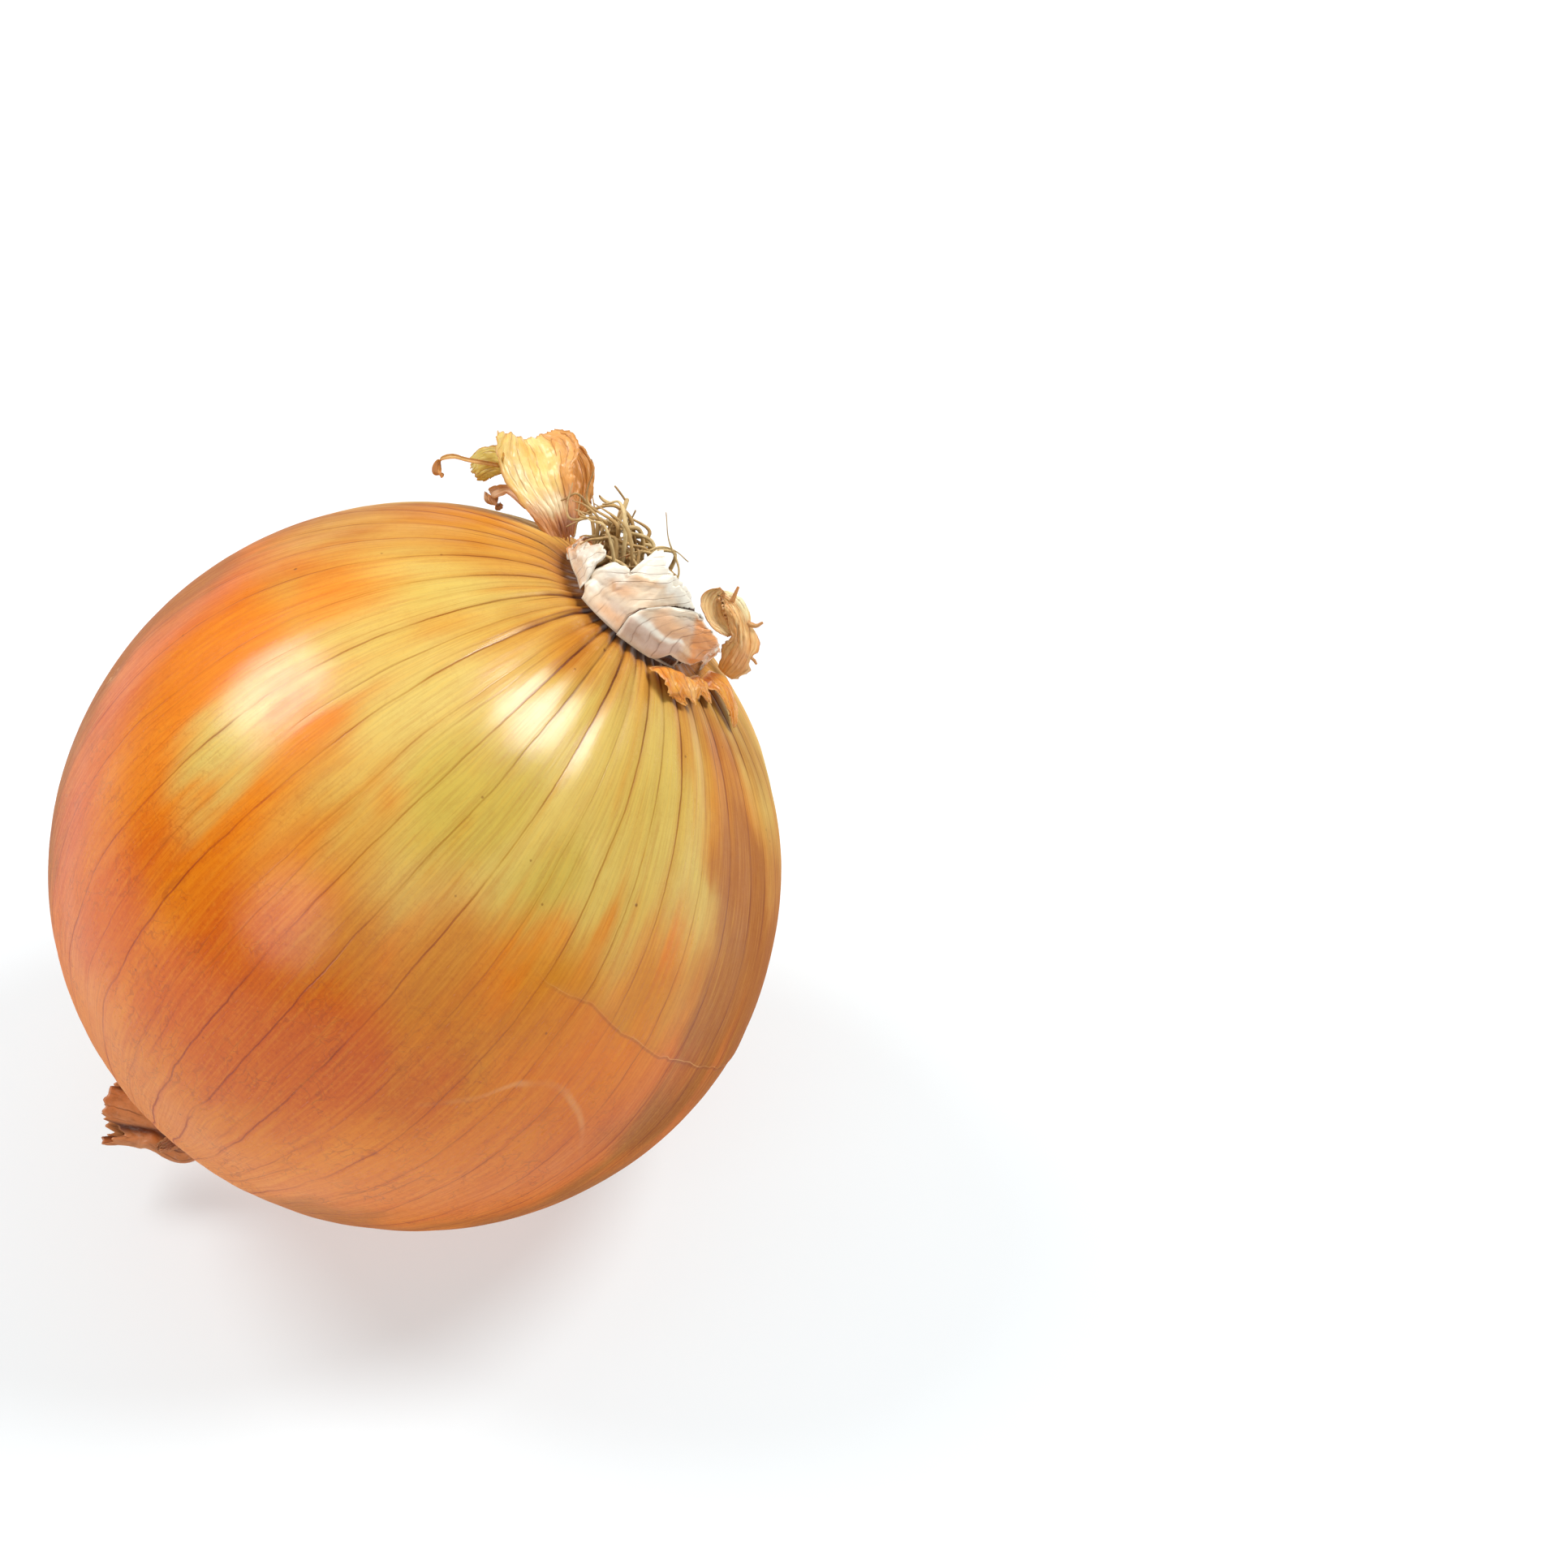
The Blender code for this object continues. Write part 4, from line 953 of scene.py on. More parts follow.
    layer(
        "collar_inner", lambda V: -20.0 + 4.0 * np.asarray(V), lambda V: 62.0 + 0 * np.asarray(V), 110, 34, 161,
        lambda a: np.interp(a, [-20, -16, -12, -6, 0, 8, 16, 32, 46, 62], [7.0, 9.4, 9.9, 9.6, 9.2, 9.0, 8.8, 7.9, 6.4, 4.6]), none, lambda a: 0.8 + 0 * a,
        lambda U, V, a: -1.1 + 0.7 * V**2 * hump(a, -4, 12), [], "ivory_skin",
        {"mauve": none, "pink": lambda U, V, a: 0.5 * hump(V, 0.98, 0.05), "peach": none, "white": lambda U, V, a: 0.95 + 0 * V,
         # painted shade low inside the inner layer
         "painted_shade": lambda U, V, a: 1 - ramp(V, 0.05, 0.45)}, fray=0.8,
    )
    layer(
        "collar_lobe_skin", lambda V: -76.0 + 2.0 * np.asarray(V), lambda V: -33.0 - 3.0 * np.asarray(V), 60, 34, 191,
        lambda a: np.interp(a, [-76, -70, -64, -58, -52, -46, -38, -33], [2.6, 3.2, 3.4, 3.8, 4.9, 5.2, 5.3, 3.8]),
        lambda a: np.interp(a, [-76, -60, -33], [0.9, 0.3, 0.3]), lambda a: 0.5 + 0 * a,
        lambda U, V, a: 0.25 + 0.5 * V**2 * (U - 0.3), ["collar_lobe"], "ivory_skin",
        {"mauve": lambda U, V, a: 0.5 * hump(V, 0.2, 0.12), "pink": lambda U, V, a: 0.9 * (1 - ramp(U, 0.06, 0.22)) + 0.5 * hump(V, 0.5, 0.05), "peach": none,
         # painted shade at the foot and along the far edge
         "white": lambda U, V, a: 0.9 * hump(V, 0.6, 0.4) * ramp(U, 0.12, 0.35), "painted_shade": lambda U, V, a: np.maximum(0.7 * (1 - ramp(V, 0.0, 0.08)), 0.7 * ramp(U, 0.96, 1.0))},
    )
    layer(
        "collar_left_back", lambda V: -138.0 + 3.0 * np.asarray(V), lambda V: -72.0 + 2.0 * np.asarray(V), 70, 24, 251,
        lambda a: np.interp(a, [-138, -120, -100, -86, -72], [1.7, 1.5, 1.3, 1.2, 1.0]), none, lambda a: 0.6 + 0 * a, lambda U, V, a: -0.2 + 0 * U, [], "ivory_skin",
        # painted shade low at the foot
        {"mauve": none, "pink": none, "peach": lambda U, V, a: 0.9 + 0 * U, "white": none, "painted_shade": lambda U, V, a: 0.85 * (1 - ramp(V, 0.02, 0.3))}, fray=2.4,
    )


# ---------------------------------------------------------------------------------------------
# Torn flaps and curls round the root end
# ---------------------------------------------------------------------------------------------
def make_flaps():
    golden = paper_material(
        "golden_skin", srgb(250, 220, 146), srgb(238, 186, 100), srgb(150, 82, 34), veins=11.0, vein_amount=0.5, rim_colour=srgb(196, 120, 48),
        # pale: a lighter tone, and on the large flap a painted highlight band
        zones=(("tan", srgb(230, 156, 86), 0.8), ("peach", srgb(228, 164, 118), 0.9), ("mauve", srgb(176, 128, 108), 0.8), ("pale_and_highlight", srgb(252, 232, 186), 0.85),
               ("green", srgb(222, 196, 96), 0.9)),
        rough=0.28, sss=0.12, grain=0.55, seed=4.2, dim=0.92,
    )
    spine = [laid(17.9, 37.6, 8.3), laid(16.9, 40.9, 9.3), laid(15.4, 44.5, 8.9), laid(14.4, 47.4, 7.2), laid(13.0, 49.8, 4.8)]
    sides = [lean(0.88, 0.48, 0.1), lean(0.95, 0.32, 0.0), lean(1.0, 0.1, -0.12), lean(1.0, 0.0, -0.2), lean(0.97, -0.1, -0.25)]
    widths, bends = [1.4, 2.7, 4.3, 5.4, 3.6], [0.8, 0.7, 0.7, 0.8, 0.8]
    flap = ribbon(spine, sides, widths, bends, 96, 110, 301, side_rag=0.07, end_rag=0.05, start_rag=0.05)
    flap = crumple(flap, 311, swell=0.42, wrinkle=0.13, pleats=0.20, pleat_count=8)
    U, V = np.meshgrid(np.linspace(-1, 1, 96), np.linspace(0, 1, 110), indexing="ij")
    sheet("skin_flap_large_skin", flap, 0.16, golden, ["skin_flap_large"], "golden_skin", {
        "tan": ramp(U, 0.25, 0.75) * ramp(V, 0.2, 0.4), "peach": (1 - ramp(V, 0.25, 0.5)) * 1.0, "mauve": hump(V, 0.10, 0.10) * ramp(U, -0.7, 0.1),
        # a painted highlight band across the flap near its middle, and a lighter patch higher on its left
        "pale_and_highlight": 0.9 * hump(V, 0.30, 0.10) * hump(U, 0.0, 0.8) + 0.6 * hump(V, 0.6, 0.2) * hump(U, -0.45, 0.2), "green": 0.5 * hump(U, -0.9, 0.3) * ramp(V, 0.5, 0.9),
        "half": half_width(flap),
    })

    def flap_at(u, v):
        i, j = int(round((u + 1) * 0.5 * 95)), int(round(v * 109))
        return flap[i, j]

    # a second fold behind it on the right
    fold_spine = [laid(18.6, 40.0, 7.0), laid(19.2, 43.0, 7.0), laid(18.6, 46.4, 6.2), laid(17.0, 49.2, 4.4)]
    fold = ribbon(fold_spine, [lean(0.9, 0.4, -0.1), lean(0.98, 0.1, -0.2), lean(1, -0.1, -0.3), lean(0.95, -0.25, -0.35)],
                  [1.0, 2.0, 2.6, 1.6], [0.7, 0.9, 1.0, 0.9], 56, 80, 331, side_rag=0.08, end_rag=0.07)
    fold = crumple(fold, 341, swell=0.3, wrinkle=0.1, pleats=0.14, pleat_count=5)
    U, V = np.meshgrid(np.linspace(-1, 1, 56), np.linspace(0, 1, 80), indexing="ij")
    sheet("skin_flap_fold", fold, 0.15, golden, [], "golden_skin", {
        "tan": 0.9 + 0 * U, "peach": 0.4 * (1 - ramp(V, 0.2, 0.5)), "mauve": 0 * U, "pale_and_highlight": 0 * U, "green": 0 * U, "half": half_width(fold)})

    # the yellow-green lobe on the left, the tendril on it and a small shred below
    root = flap_at(-0.8, 0.62)
    lobe = ribbon([root, laid(9.9, 46.8, 6.9), laid(8.2, 46.6, 5.9), laid(7.0, 45.7, 4.6)],
                  [lean(0, -0.5, -0.86), lean(0.12, -0.95, -0.3), lean(0.3, -0.95, 0.05), lean(0.42, -0.9, 0.1)],
                  [1.3, 1.9, 2.0, 1.7], [0.8, 0.7, 0.7, 0.8], 50, 60, 351, side_rag=0.08, end_rag=0.07)
    lobe = crumple(lobe, 361, swell=0.18, wrinkle=0.07, pleats=0.06, pleat_count=5)
    U, V = np.meshgrid(np.linspace(-1, 1, 50), np.linspace(0, 1, 60), indexing="ij")
    sheet("skin_flap_lobe", lobe, 0.15, golden, [], "golden_skin", {
        "tan": 0 * U, "peach": 0 * U, "mauve": 0 * U, "pale_and_highlight": 0.4 * hump(V, 0.6, 0.3), "green": 0.95 + 0 * U, "half": half_width(lobe)})
    base = lobe[30, 14]
    tendril = ribbon([base, laid(6.9, 46.8, 8.2), laid(5.1, 47.2, 8.8), laid(3.7, 46.8, 8.8), laid(3.2, 45.6, 8.6), laid(3.9, 44.9, 8.4)],
                     [lean(0, 0.9, -0.4), lean(0, 0.9, -0.4), lean(0.1, 0.9, -0.4), lean(0.6, 0.6, -0.3), lean(0.9, 0, 0), lean(0.4, -0.8, 0)],
                     [0.32, 0.34, 0.36, 0.42, 0.62, 0.3], [1.1, 1.1, 1.0, 0.9, 0.8, 0.9], 14, 70, 371, side_rag=0.12, end_rag=0.0)
    U, V = np.meshgrid(np.linspace(-1, 1, 14), np.linspace(0, 1, 70), indexing="ij")
    sheet("skin_flap_tendril", tendril, 0.16, golden, [], "golden_skin", {
        "tan": 0.4 + 0.6 * ramp(V, 0.5, 0.8), "peach": 0 * U, "mauve": 0 * U, "pale_and_highlight": 0 * U, "green": 0 * U, "half": half_width(tendril)})
    base = flap_at(-0.86, 0.34)
    shred = ribbon([base, laid(11.6, 43.3, 7.8), laid(10.2, 43.2, 7.9), laid(9.3, 42.5, 7.7), laid(10.0, 41.6, 7.6), laid(10.7, 41.3, 7.8)],
                   [lean(0, 0.8, -0.6), lean(0, 0.9, -0.4), lean(0.1, 0.9, -0.3), lean(0.8, 0.4, 0.2), lean(0.5, -0.6, 0.4), lean(0.2, -0.8, 0.4)],
                   [0.5, 0.6, 0.9, 1.0, 0.8, 0.4], [0.9, 0.9, 1.0, 1.0, 1.0, 1.0], 22, 60, 381, side_rag=0.12, end_rag=0.05)
    U, V = np.meshgrid(np.linspace(-1, 1, 22), np.linspace(0, 1, 60), indexing="ij")
    sheet("skin_flap_shred", shred, 0.15, golden, [], "golden_skin", {
        "tan": 0 * U, "peach": 0.95 + 0 * U, "mauve": 0 * U, "pale_and_highlight": 0.3 + 0 * U, "green": 0 * U, "half": half_width(shred)})

    # the curl on the right: a strip that leaves the foot of the collar, rises, rolls over and comes back
    curl_skin = paper_material(
        "curl_skin", srgb(252, 212, 152), srgb(240, 172, 100), srgb(190, 110, 54), veins=8.0, vein_amount=0.35, rim_colour=srgb(214, 134, 74),
        back=srgb(246, 204, 142), zones=(("peach", srgb(244, 184, 128), 0.8), ("cream", srgb(252, 236, 184), 0.92)), rough=0.32, sss=0.12, grain=0.6, seed=9.1, dim=0.97,
    )
    spine = [laid(36.25, 22.25, 8.3), laid(37.46, 23.65, 9.0), laid(38.3, 25.33, 9.6), laid(38.4, 27.1, 10.0), laid(38.02, 29.06, 10.3), laid(37.1, 30.5, 10.3), laid(35.9, 31.5, 10.0)]
    sides = [lean(0.87, -0.49, 0.15), lean(0.85, -0.53, 0.1), lean(0.95, -0.3, 0.0), lean(0.99, 0.1, -0.2), lean(0.87, 0.45, -0.3), lean(0.6, 0.77, -0.3), lean(0.4, 0.86, -0.2)]
    curl = ribbon(spine, sides, [1.3, 2.1, 1.9, 1.5, 1.6, 1.4, 0.5], [-0.8, -0.7, -0.6, -0.8, -0.9, -0.9, -0.9], 48, 130, 401, side_rag=0.30, end_rag=0.10)
    curl = crumple(curl, 411, swell=0.30, wrinkle=0.12, pleats=0.12, pleat_count=6)
    U, V = np.meshgrid(np.linspace(-1, 1, 48), np.linspace(0, 1, 130), indexing="ij")
    sheet("skin_curl_right_skin", curl, 0.16, curl_skin, ["skin_curl_right"], "orange_skin", {
        "peach": 0.8 * hump(V, 0.25, 0.2) * hump(U, 0.2, 0.5), "cream": 0.8 * ramp(V, 0.5, 0.7) * ramp(U, 0.0, 0.5), "half": half_width(curl)})
    # its rolled end, seen from the inside
    spine = [laid(36.1, 31.9, 9.9), laid(35.14, 30.95, 9.7), laid(34.95, 29.7, 9.5), laid(35.4, 28.5, 9.4), laid(36.35, 27.55, 9.4), laid(37.1, 26.8, 9.3)]
    sides = [lean(0.7, -0.7, -0.3), lean(0.89, -0.46, -0.4), lean(1.0, 0.1, -0.45), lean(0.84, 0.55, -0.45), lean(0.73, 0.69, -0.35), lean(0.7, 0.7, -0.2)]
    roll = ribbon(spine, sides, [0.7, 1.7, 2.1, 1.7, 1.1, 0.5], [-1.0, -1.0, -1.0, -1.0, -0.9, -0.9], 44, 90, 431, side_rag=0.12, end_rag=0.08)
    roll = crumple(roll, 436, swell=0.20, wrinkle=0.10, pleats=0.08, pleat_count=6, free=1.0)
    U, V = np.meshgrid(np.linspace(-1, 1, 44), np.linspace(0, 1, 90), indexing="ij")
    sheet("skin_curl_roll", roll, 0.15, curl_skin, [], "orange_skin", {
        "peach": 0.9 * ramp(U, -0.05, 0.35) * (1 - ramp(V, 0.6, 0.9)), "cream": 1.0 - ramp(U, -0.15, 0.3), "half": half_width(roll)})
    # torn spikes on its rim
    for k, (knots, reach) in enumerate((
        ([laid(38.9, 28.0, 10.0), laid(39.9, 27.7, 10.2), laid(40.75, 28.1, 10.3)], 0.42),
        ([laid(37.2, 30.4, 10.5), laid(37.6, 31.4, 10.7), laid(37.95, 32.2, 10.8)], 0.36),
        ([laid(38.9, 24.2, 9.4), laid(39.6, 23.8, 9.3), laid(40.0, 23.3, 9.2)], 0.36),
    )):
        spike = ribbon(knots, [lean(0.2, 0.9, 0.2) if k == 0 else lean(0.9, -0.2, 0.2)] * 3, [reach, 0.7 * reach, 0.16], [1.1, 1.1, 1.1], 10, 26, 446 + k, side_rag=0.1, end_rag=0.0)
        U, V = np.meshgrid(np.linspace(-1, 1, 10), np.linspace(0, 1, 26), indexing="ij")
        sheet("skin_curl_spike_%d" % (k + 1), spike, 0.14, curl_skin, [], "orange_skin", {"peach": 0.5 + 0 * U, "cream": 0 * U, "half": half_width(spike)})

    # two orange flaps that hang from the foot of the collar
    orange = paper_material(
        "orange_skin", srgb(244, 172, 76), srgb(222, 128, 36), srgb(140, 60, 16), veins=7.0, vein_amount=0.5, rim_colour=srgb(232, 170, 96),
        zones=(("peach", srgb(240, 182, 112), 0.8), ("brown", srgb(160, 74, 20), 0.8)), rough=0.30, sss=0.10, grain=0.6, seed=12.4, dim=0.94,
    )
    for name, nodes, spine, widths, seed, bend in (
        ("skin_flap_lower_left_skin", ["skin_flap_lower_left"], [at(14.6, 46.0, 0.7), at(16.6, 48.0, 1.7), at(18.6, 51.0, 1.9), at(20.4, 54.0, 1.3)], [3.9, 3.9, 3.1, 1.3], 421, 0.42),
        ("skin_flap_lower_right_skin", ["skin_flap_lower_right"], [at(14.8, 88.0, 0.9), at(18.0, 88.0, 2.0), at(21.4, 86.5, 1.6), at(23.9, 85.0, 0.8)], [3.0, 2.6, 1.5, 0.5], 441, 0.6),
        ("skin_flap_lower_middle", [], [at(14.8, 70.0, 0.7), at(17.0, 71.0, 1.1), at(19.4, 73.0, 0.8)], [2.2, 1.7, 0.7], 461, 0.5),
    ):
        facing = math.radians(48.0 if "left" in name else 85.0)
        flap_points = ribbon(spine, [FRONT * math.sin(facing) * -1.0 + SIDE * math.cos(facing)] * len(spine), widths, [bend] * len(spine), 54, 60, seed, side_rag=0.12, end_rag=0.12)
        flap_points = crumple(flap_points, seed + 9, swell=0.22, wrinkle=0.10, pleats=0.10, pleat_count=6)
        U, V = np.meshgrid(np.linspace(-1, 1, 54), np.linspace(0, 1, 60), indexing="ij")
        sheet(name, flap_points, 0.16, orange, nodes, "orange_skin",
              {"peach": 0.7 * hump(V, 0.75, 0.25) * hump(U, 0.1, 0.5), "brown": 1 - ramp(V, 0.02, 0.3), "half": half_width(flap_points)})


# ---------------------------------------------------------------------------------------------
# The dry neck: a flattened, torn tube of burnt-orange skins
# ---------------------------------------------------------------------------------------------
def make_neck():
    burnt = paper_material(
        "neck_skin", srgb(216, 132, 66), srgb(176, 88, 32), srgb(96, 40, 14), veins=20.0, vein_amount=0.55, rim_colour=srgb(206, 132, 72),
        # painted shade: dark brown in the folds of the neck and at its foot
        zones=(("painted_shade", srgb(84, 32, 10), 0.95), ("peach", srgb(222, 150, 96), 0.8)), rough=0.42, grain=0.8, seed=15.5,
    )
    seat = at(180.0, 0.0, 0.45)
    spine = [seat + AXIS * 1.2 * MM, seat - AXIS * 1.6 * MM, seat - AXIS * 2.6 * MM + lean(-3.2, 2.6, 0.2) * MM, seat - AXIS * 2.9 * MM + lean(-7.4, 4.4, 0.7) * MM]
    wide_way = unit(lean(-0.55, 0.80, -0.22))

    def tube(name, nodes, turn, long_radii, short_radii, shift, seed, start, end, thickness=0.22):
        U, V = np.meshgrid(np.linspace(0, 1, 120), np.linspace(0, 1, 60), indexing="ij")
        angle = start + (end - start) * U
        t = V * (1.0 + ragged(U * 0.95, seed, 0.16, 0.05, 7))
        middle = past(np.array(spine), t)
        ahead = unit(past(np.array(spine), t + 0.01) - past(np.array(spine), t - 0.01))
        long = unit(wide_way - ahead * np.sum(wide_way * ahead, -1, keepdims=True))
        short = np.cross(ahead, long)
        creases = 1.0 - 0.20 * np.abs(np.sin(angle * 2.5 + turn + 0.8 * V)) ** 3 + 0.07 * smooth_noise(U * 0.95, V, 11, 5, seed + 3)
        creases = 1.0 + (creases - 1.0) * (0.35 + 0.65 * ramp(V, 0.0, 0.3))
        spiral = 1.0 + 0.10 * (U - 0.5)
        a, b = past(np.array(long_radii, float), t) * creases * spiral, past(np.array(short_radii, float), t) * creases * spiral
        points = middle + long * (np.cos(angle) * a * MM + shift[0] * MM * V)[..., None] + short * (np.sin(angle) * b * MM + shift[1] * MM * V)[..., None]
        points = crumple(points, seed + 11, swell=0.16, wrinkle=0.12, pleats=0.10, pleat_count=14, free=0.4 + 0.6 * V)
        hollows = np.abs(np.sin(angle * 2.5 + turn + 0.8 * V)) ** 6
        # painted shade in the folds and low at the foot of the tube
        floats = {"painted_shade": np.clip(0.75 * hollows * ramp(V, 0.1, 0.3) + 0.5 * (1 - ramp(V, 0.05, 0.22)), 0, 1), "peach": 0.8 * hump(V, 0.8, 0.3) * (1 - hollows), "half": half_width(points)}
        sheet(name, points, thickness, burnt, nodes, "neck_skin", floats)

    tube("dried_neck_skin", ["dried_neck"], 0.3, [3.0, 3.2, 3.9, 5.1], [3.0, 2.3, 1.7, 1.5], (0.0, 0.0), 501, 0.4, 0.4 + 2.05 * math.pi)
    tube("dried_neck_inner", [], 1.6, [2.6, 2.7, 2.6, 2.7], [2.2, 1.6, 1.1, 0.8], (1.3, 0.1), 531, 2.0, 2.0 + 1.9 * math.pi)
    shred = ribbon([laid(-27.6, -31.3, -8.2), laid(-28.9, -32.4, -8.4), laid(-30.3, -33.3, -9.0), laid(-31.4, -34.0, -9.8)],
                   [lean(0.3, 0.8, 0.3)] * 4, [0.9, 1.2, 1.0, 0.5], [1.0, 1.1, 1.2, 1.2], 26, 50, 551, side_rag=0.2, end_rag=0.1)
    shred = crumple(shred, 561, swell=0.15, wrinkle=0.1, pleats=0.1, pleat_count=4)
    U, V = np.meshgrid(np.linspace(-1, 1, 26), np.linspace(0, 1, 50), indexing="ij")
    # painted shade towards the shred's first end
    sheet("neck_shred_skin", shred, 0.18, burnt, ["neck_shred"], "neck_skin", {"painted_shade": 0.5 * (1 - V), "peach": 0.6 * V, "half": half_width(shred)})


# ---------------------------------------------------------------------------------------------
# Roots: dry wiry strands tangled in the mouth of the collar
# ---------------------------------------------------------------------------------------------
def make_roots():
    rng = np.random.default_rng(77)
    plate = MIDDLE + AXIS * (float(bulb_radius(np.array(0.0), np.array(0.0))) + 0.1 * MM)

    def spot(side, front, height):
        return plate + (SIDE * side + FRONT * front + AXIS * height) * MM

    strands = []
    for i in range(46):
        reach = math.sqrt((i + 0.5) / 46.0) * 4.8
        turn = i * math.radians(137.508)
        s0, f0 = reach * math.cos(turn) - 2.4, reach * math.sin(turn)
        rise = rng.uniform(3.4, 7.4)
        if i % 3 < 2:
            # most lie over towards the large flap
            lie, f1 = rng.uniform(-10.0, -3.5), f0 * 0.7 + rng.uniform(-2.6, 2.6)
            knots = [
                spot(s0, f0, -0.6), spot(s0 + 0.25 * lie + rng.uniform(-0.8, 0.8), f0 + rng.uniform(-1, 1), rise * 0.55),
                spot(s0 + 0.55 * lie + rng.uniform(-0.9, 0.9), 0.5 * (f0 + f1) + rng.uniform(-1.2, 1.2), rise + rng.uniform(-0.6, 1.2)),
                spot(max(s0 + 0.85 * lie, -12.5) + rng.uniform(-1, 1), f1 + rng.uniform(-1, 1), rise + rng.uniform(-1.5, 1.5)),
                spot(max(s0 + 1.05 * lie, -13.5) + rng.uniform(-1.4, 1.4), f1 + rng.uniform(-1.6, 1.6), rise + rng.uniform(-2.5, 2.5)),
            ]
        else:
            # some curl up and over in the mouth
            away, bow = rng.uniform(0, 2 * math.pi), rng.uniform(1.5, 3.4)
            knots = [spot(s0, f0, -0.6)]
            for k in range(1, 5):
                swing = away + k * rng.uniform(0.5, 1.1)
                knots.append(spot(s0 - 0.5 * k + bow * math.sin(swing) * 0.6, f0 + bow * math.cos(swing) * 0.6, min(rise * k * 0.42, 6.0) - 0.25 * k * k * rng.uniform(0.1, 0.7)))
        strands.append((knots, rng.uniform(0.20, 0.30), rng.uniform(0, 1)))
    # a few that stand clear of the tangle
    for knots, thick in (
        ([(0.0, 1.0, 2.0), (1.4, 0.6, 5.0), (1.0, 0.4, 7.0), (-1.8, 0.2, 9.0), (-4.4, 0.0, 11.0)], 0.15),
        ([(-4.0, 1.5, 3.0), (-3.4, 1.0, 5.8), (-2.4, 0.4, 7.4), (-0.6, 0.0, 8.2), (1.2, -0.4, 8.4)], 0.16),
        ([(-4.0, 2.5, 2.5), (-7.0, 3.0, 5.4), (-10.6, 2.6, 6.2), (-13.2, 1.6, 5.4)], 0.20),
        ([(-3.0, -1.0, 4.0), (-6.5, -1.2, 7.2), (-9.6, -1.0, 7.0), (-11.2, -0.6, 3.6), (-10.6, 0.2, 1.8)], 0.22),
        ([(-2.0, 3.0, 3.0), (-4.6, 3.4, 6.6), (-8.0, 3.2, 7.8), (-11.0, 2.0, 6.8)], 0.21),
    ):
        strands.append(([spot(*k) for k in knots], thick, rng.uniform(0, 1)))

    points, faces, caps, shade, far = [], [], [], [], []
    sides, rings = 8, 36
    base = 0
    for knots, thick, tone in strands:
        t = np.linspace(0, 1, rings)
        line = through(np.array(knots), t)
        wiggle = rng.uniform(0, 6.28, 3)
        line = line + (SIDE * (0.16 * np.sin(11 * t + wiggle[0]))[:, None] + FRONT * (0.16 * np.sin(13 * t + wiggle[1]))[:, None] + AXIS * (0.12 * np.sin(9 * t + wiggle[2]))[:, None]) * MM * ramp(t, 0, 0.2)[:, None]
        ahead = unit(np.gradient(line, axis=0))
        helper = unit(np.cross(ahead, unit(RIGHT + 0.3 * LOOK)))
        other = np.cross(ahead, helper)
        radius = thick * MM * (1.0 - 0.62 * ramp(t, 0.35, 1.0)) * (1.0 + 0.12 * np.sin(17 * t + wiggle[0]))
        turn = np.linspace(0, 2 * np.pi, sides, endpoint=False)
        ring = line[:, None] + (helper[:, None] * np.cos(turn)[None, :, None] + other[:, None] * np.sin(turn)[None, :, None]) * radius[:, None, None]
        points += [ring.reshape(-1, 3), line[:1] - ahead[:1] * radius[0], line[-1:] + ahead[-1:] * radius[-1]]
        r, c = np.meshgrid(np.arange(rings - 1), np.arange(sides), indexing="ij")
        c1 = (c + 1) % sides
        quads = np.stack([r * sides + c, r * sides + c1, (r + 1) * sides + c1, (r + 1) * sides + c], -1).reshape(-1, 4)
        start, end = rings * sides, rings * sides + 1
        k = np.arange(sides)
        k1 = (k + 1) % sides
        low = np.stack([np.full(sides, start), k1, k], -1)
        high = np.stack([np.full(sides, end), (rings - 1) * sides + k, (rings - 1) * sides + k1], -1)
        faces.append(quads + base)
        caps.append(np.concatenate([low, high]) + base)
        shade.append(np.full(rings * sides + 2, tone))
        far.append(np.concatenate([np.repeat(t, sides), [0.0, 1.0]]))
        base += rings * sides + 2

    n = Nodes("root_fibre")
    tone, away = n.attribute("shade"), n.attribute("far")
    where = n.where()
    rough = n.noise(where, 900.0, 3.0, 0.6)
    colour = n.mix(tone, srgb(186, 148, 90), srgb(222, 196, 140))
    colour = n.mix(n.mul(n.span(rough, 0.45, 0.75), 0.5), colour, srgb(112, 76, 38))
    colour = n.mix(n.mul(n.sub(1.0, n.span(away, 0.05, 0.35)), 0.6), colour, srgb(96, 58, 26))
    colour = n.mix(n.mul(n.span(away, 0.7, 1.0), 0.4), colour, srgb(150, 96, 50))
    finish = n.finish(colour, 0.55, n.bump(n.mul(rough, 0.06 * MM)), IOR=1.45)
    tuft = mesh_object("root_tuft", np.concatenate(points), [np.concatenate(faces), np.concatenate(caps)], finish,
                       floats={"shade": np.concatenate(shade), "far": np.concatenate(far)})
    dress(tuft, ["root_%02d" % (i + 1) for i in range(14)], "root_fibre")


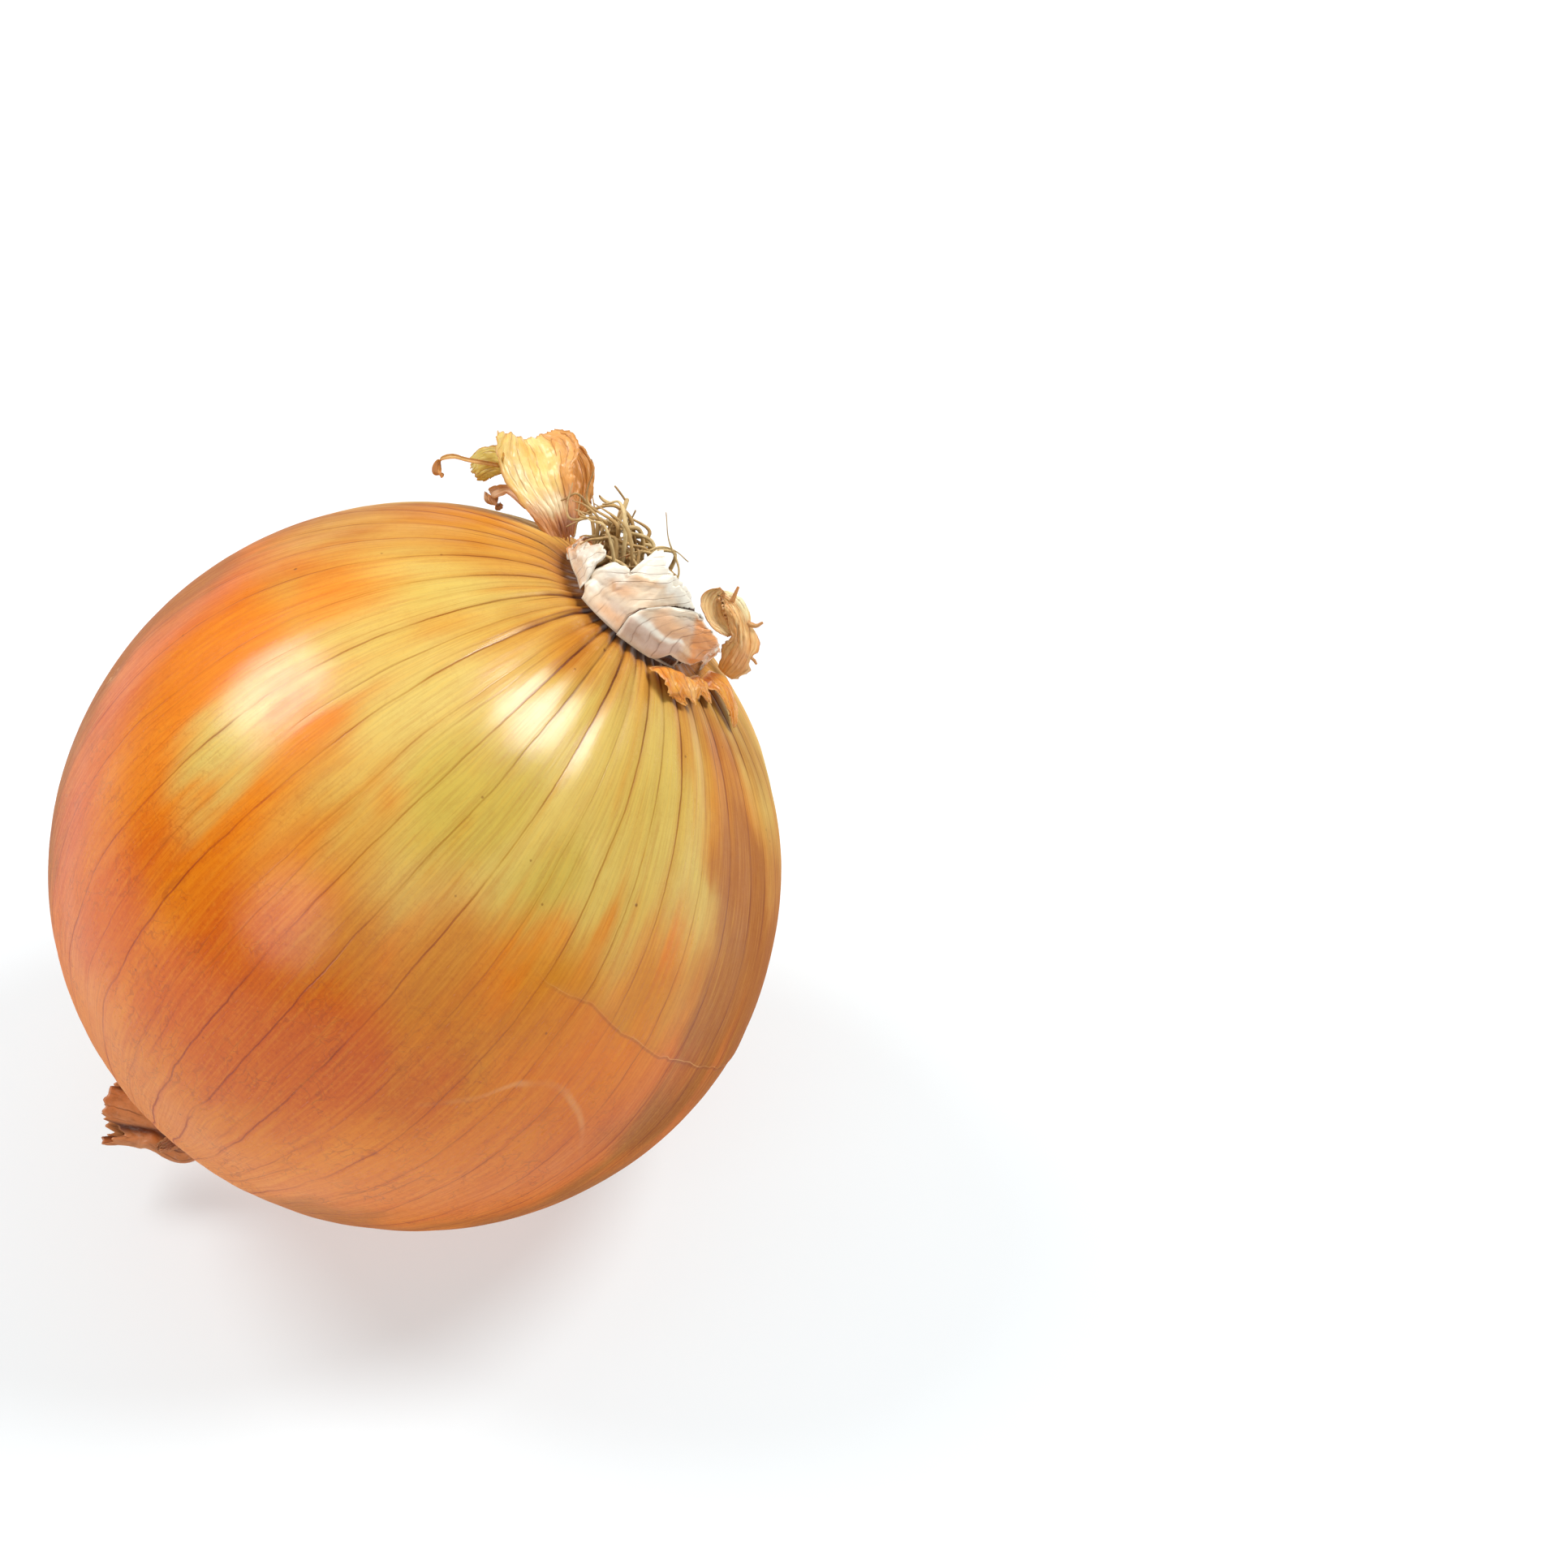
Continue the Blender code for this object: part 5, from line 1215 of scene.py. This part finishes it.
# ---------------------------------------------------------------------------------------------
# Camera, light, floor
# ---------------------------------------------------------------------------------------------
def stage():
    scene = bpy.context.scene
    scene.view_settings.view_transform = "Standard"
    scene.view_settings.look = "None"
    scene.render.film_transparent = False

    # The camera looks down 45 degrees. Picture size 1932 x 1932; the bulb's middle is at (511, 1067).
    size, bulb_px, middle_px = 1932.0, 899.0, (511.0, 1067.0)
    camera = bpy.data.cameras.new("camera")
    camera.sensor_width = 36.0
    camera.lens = 110.0
    camera.clip_start = 0.01
    # distance at which the bulb's outline is bulb_px wide
    angle = math.atan(0.5 * bulb_px / size * camera.sensor_width / camera.lens)
    distance = BULB_RADIUS / math.sin(angle)
    shift_x = (0.5 * size - middle_px[0]) / size
    shift_y = (middle_px[1] - 0.5 * size) / size
    width = distance * camera.sensor_width / camera.lens
    target = MIDDLE + RIGHT * (shift_x * width) + SLOPE * (shift_y * width)
    eye = bpy.data.objects.new("camera", camera)
    eye.location = Vector(target + LOOK * distance)
    eye.rotation_euler = Vector(LOOK).to_track_quat("Z", "Y").to_euler()
    scene.collection.objects.link(eye)
    scene.camera = eye

    world = bpy.data.worlds.new("world")
    world.use_nodes = True
    background = world.node_tree.nodes["Background"]
    background.inputs["Color"].default_value = (1.0, 1.0, 1.0, 1.0)
    background.inputs["Strength"].default_value = 0.16
    # the backdrop, where the floor ends, looks as pale as the far floor
    backdrop = world.node_tree.nodes.new("ShaderNodeBackground")
    backdrop.inputs["Color"].default_value = (1.0, 1.0, 1.0, 1.0)
    backdrop.inputs["Strength"].default_value = 0.60
    seen = world.node_tree.nodes.new("ShaderNodeLightPath")
    either = world.node_tree.nodes.new("ShaderNodeMixShader")
    world.node_tree.links.new(seen.outputs["Is Camera Ray"], either.inputs[0])
    world.node_tree.links.new(background.outputs[0], either.inputs[1])
    world.node_tree.links.new(backdrop.outputs[0], either.inputs[2])
    world.node_tree.links.new(either.outputs[0], world.node_tree.nodes["World Output"].inputs["Surface"])
    scene.world = world

    def softbox(name, direction, distance, size, power, shape="SQUARE"):
        light = bpy.data.lights.new(name, "AREA")
        light.shape = shape
        light.size = size
        light.energy = power
        lamp = bpy.data.objects.new(name, light)
        direction = Vector(unit(direction))
        lamp.location = Vector(MIDDLE) + direction * distance
        lamp.rotation_euler = direction.to_track_quat("Z", "Y").to_euler()
        scene.collection.objects.link(lamp)

    softbox("softbox_left", (-0.582, 0.302, 0.755), 0.9, 0.44, 5.5, "DISK")
    softbox("softbox_right", (0.591, 0.175, 0.788), 0.9, 0.37, 6.4, "DISK")
    softbox("softbox_low", (-0.556, -0.734, 0.393), 1.0, 0.50, 1.9, "DISK")
    softbox("front_fill", (0.10, -0.92, 0.36), 1.3, 1.0, 2.7)
    softbox("overhead", (0.0, 0.22, 1.0), 1.5, 1.2, 3.2)

    floor = bpy.data.meshes.new("floor")
    floor.from_pydata([(-6, -6, 0), (6, -6, 0), (6, 6, 0), (-6, 6, 0)], [], [(0, 1, 2, 3)])
    n = Nodes("floor")
    floor.materials.append(n.finish((0.43, 0.47, 0.485), 0.8, Specular_IOR_Level=0.1, Emission_Color=(1.0, 1.0, 1.0), Emission_Strength=0.49))
    ground = bpy.data.objects.new("floor", floor)
    scene.collection.objects.link(ground)


stage()

dress(make_bulb(bulb_material()), ["bulb"], "bulb_skin")
make_collar()
make_flaps()
make_neck()
make_roots()
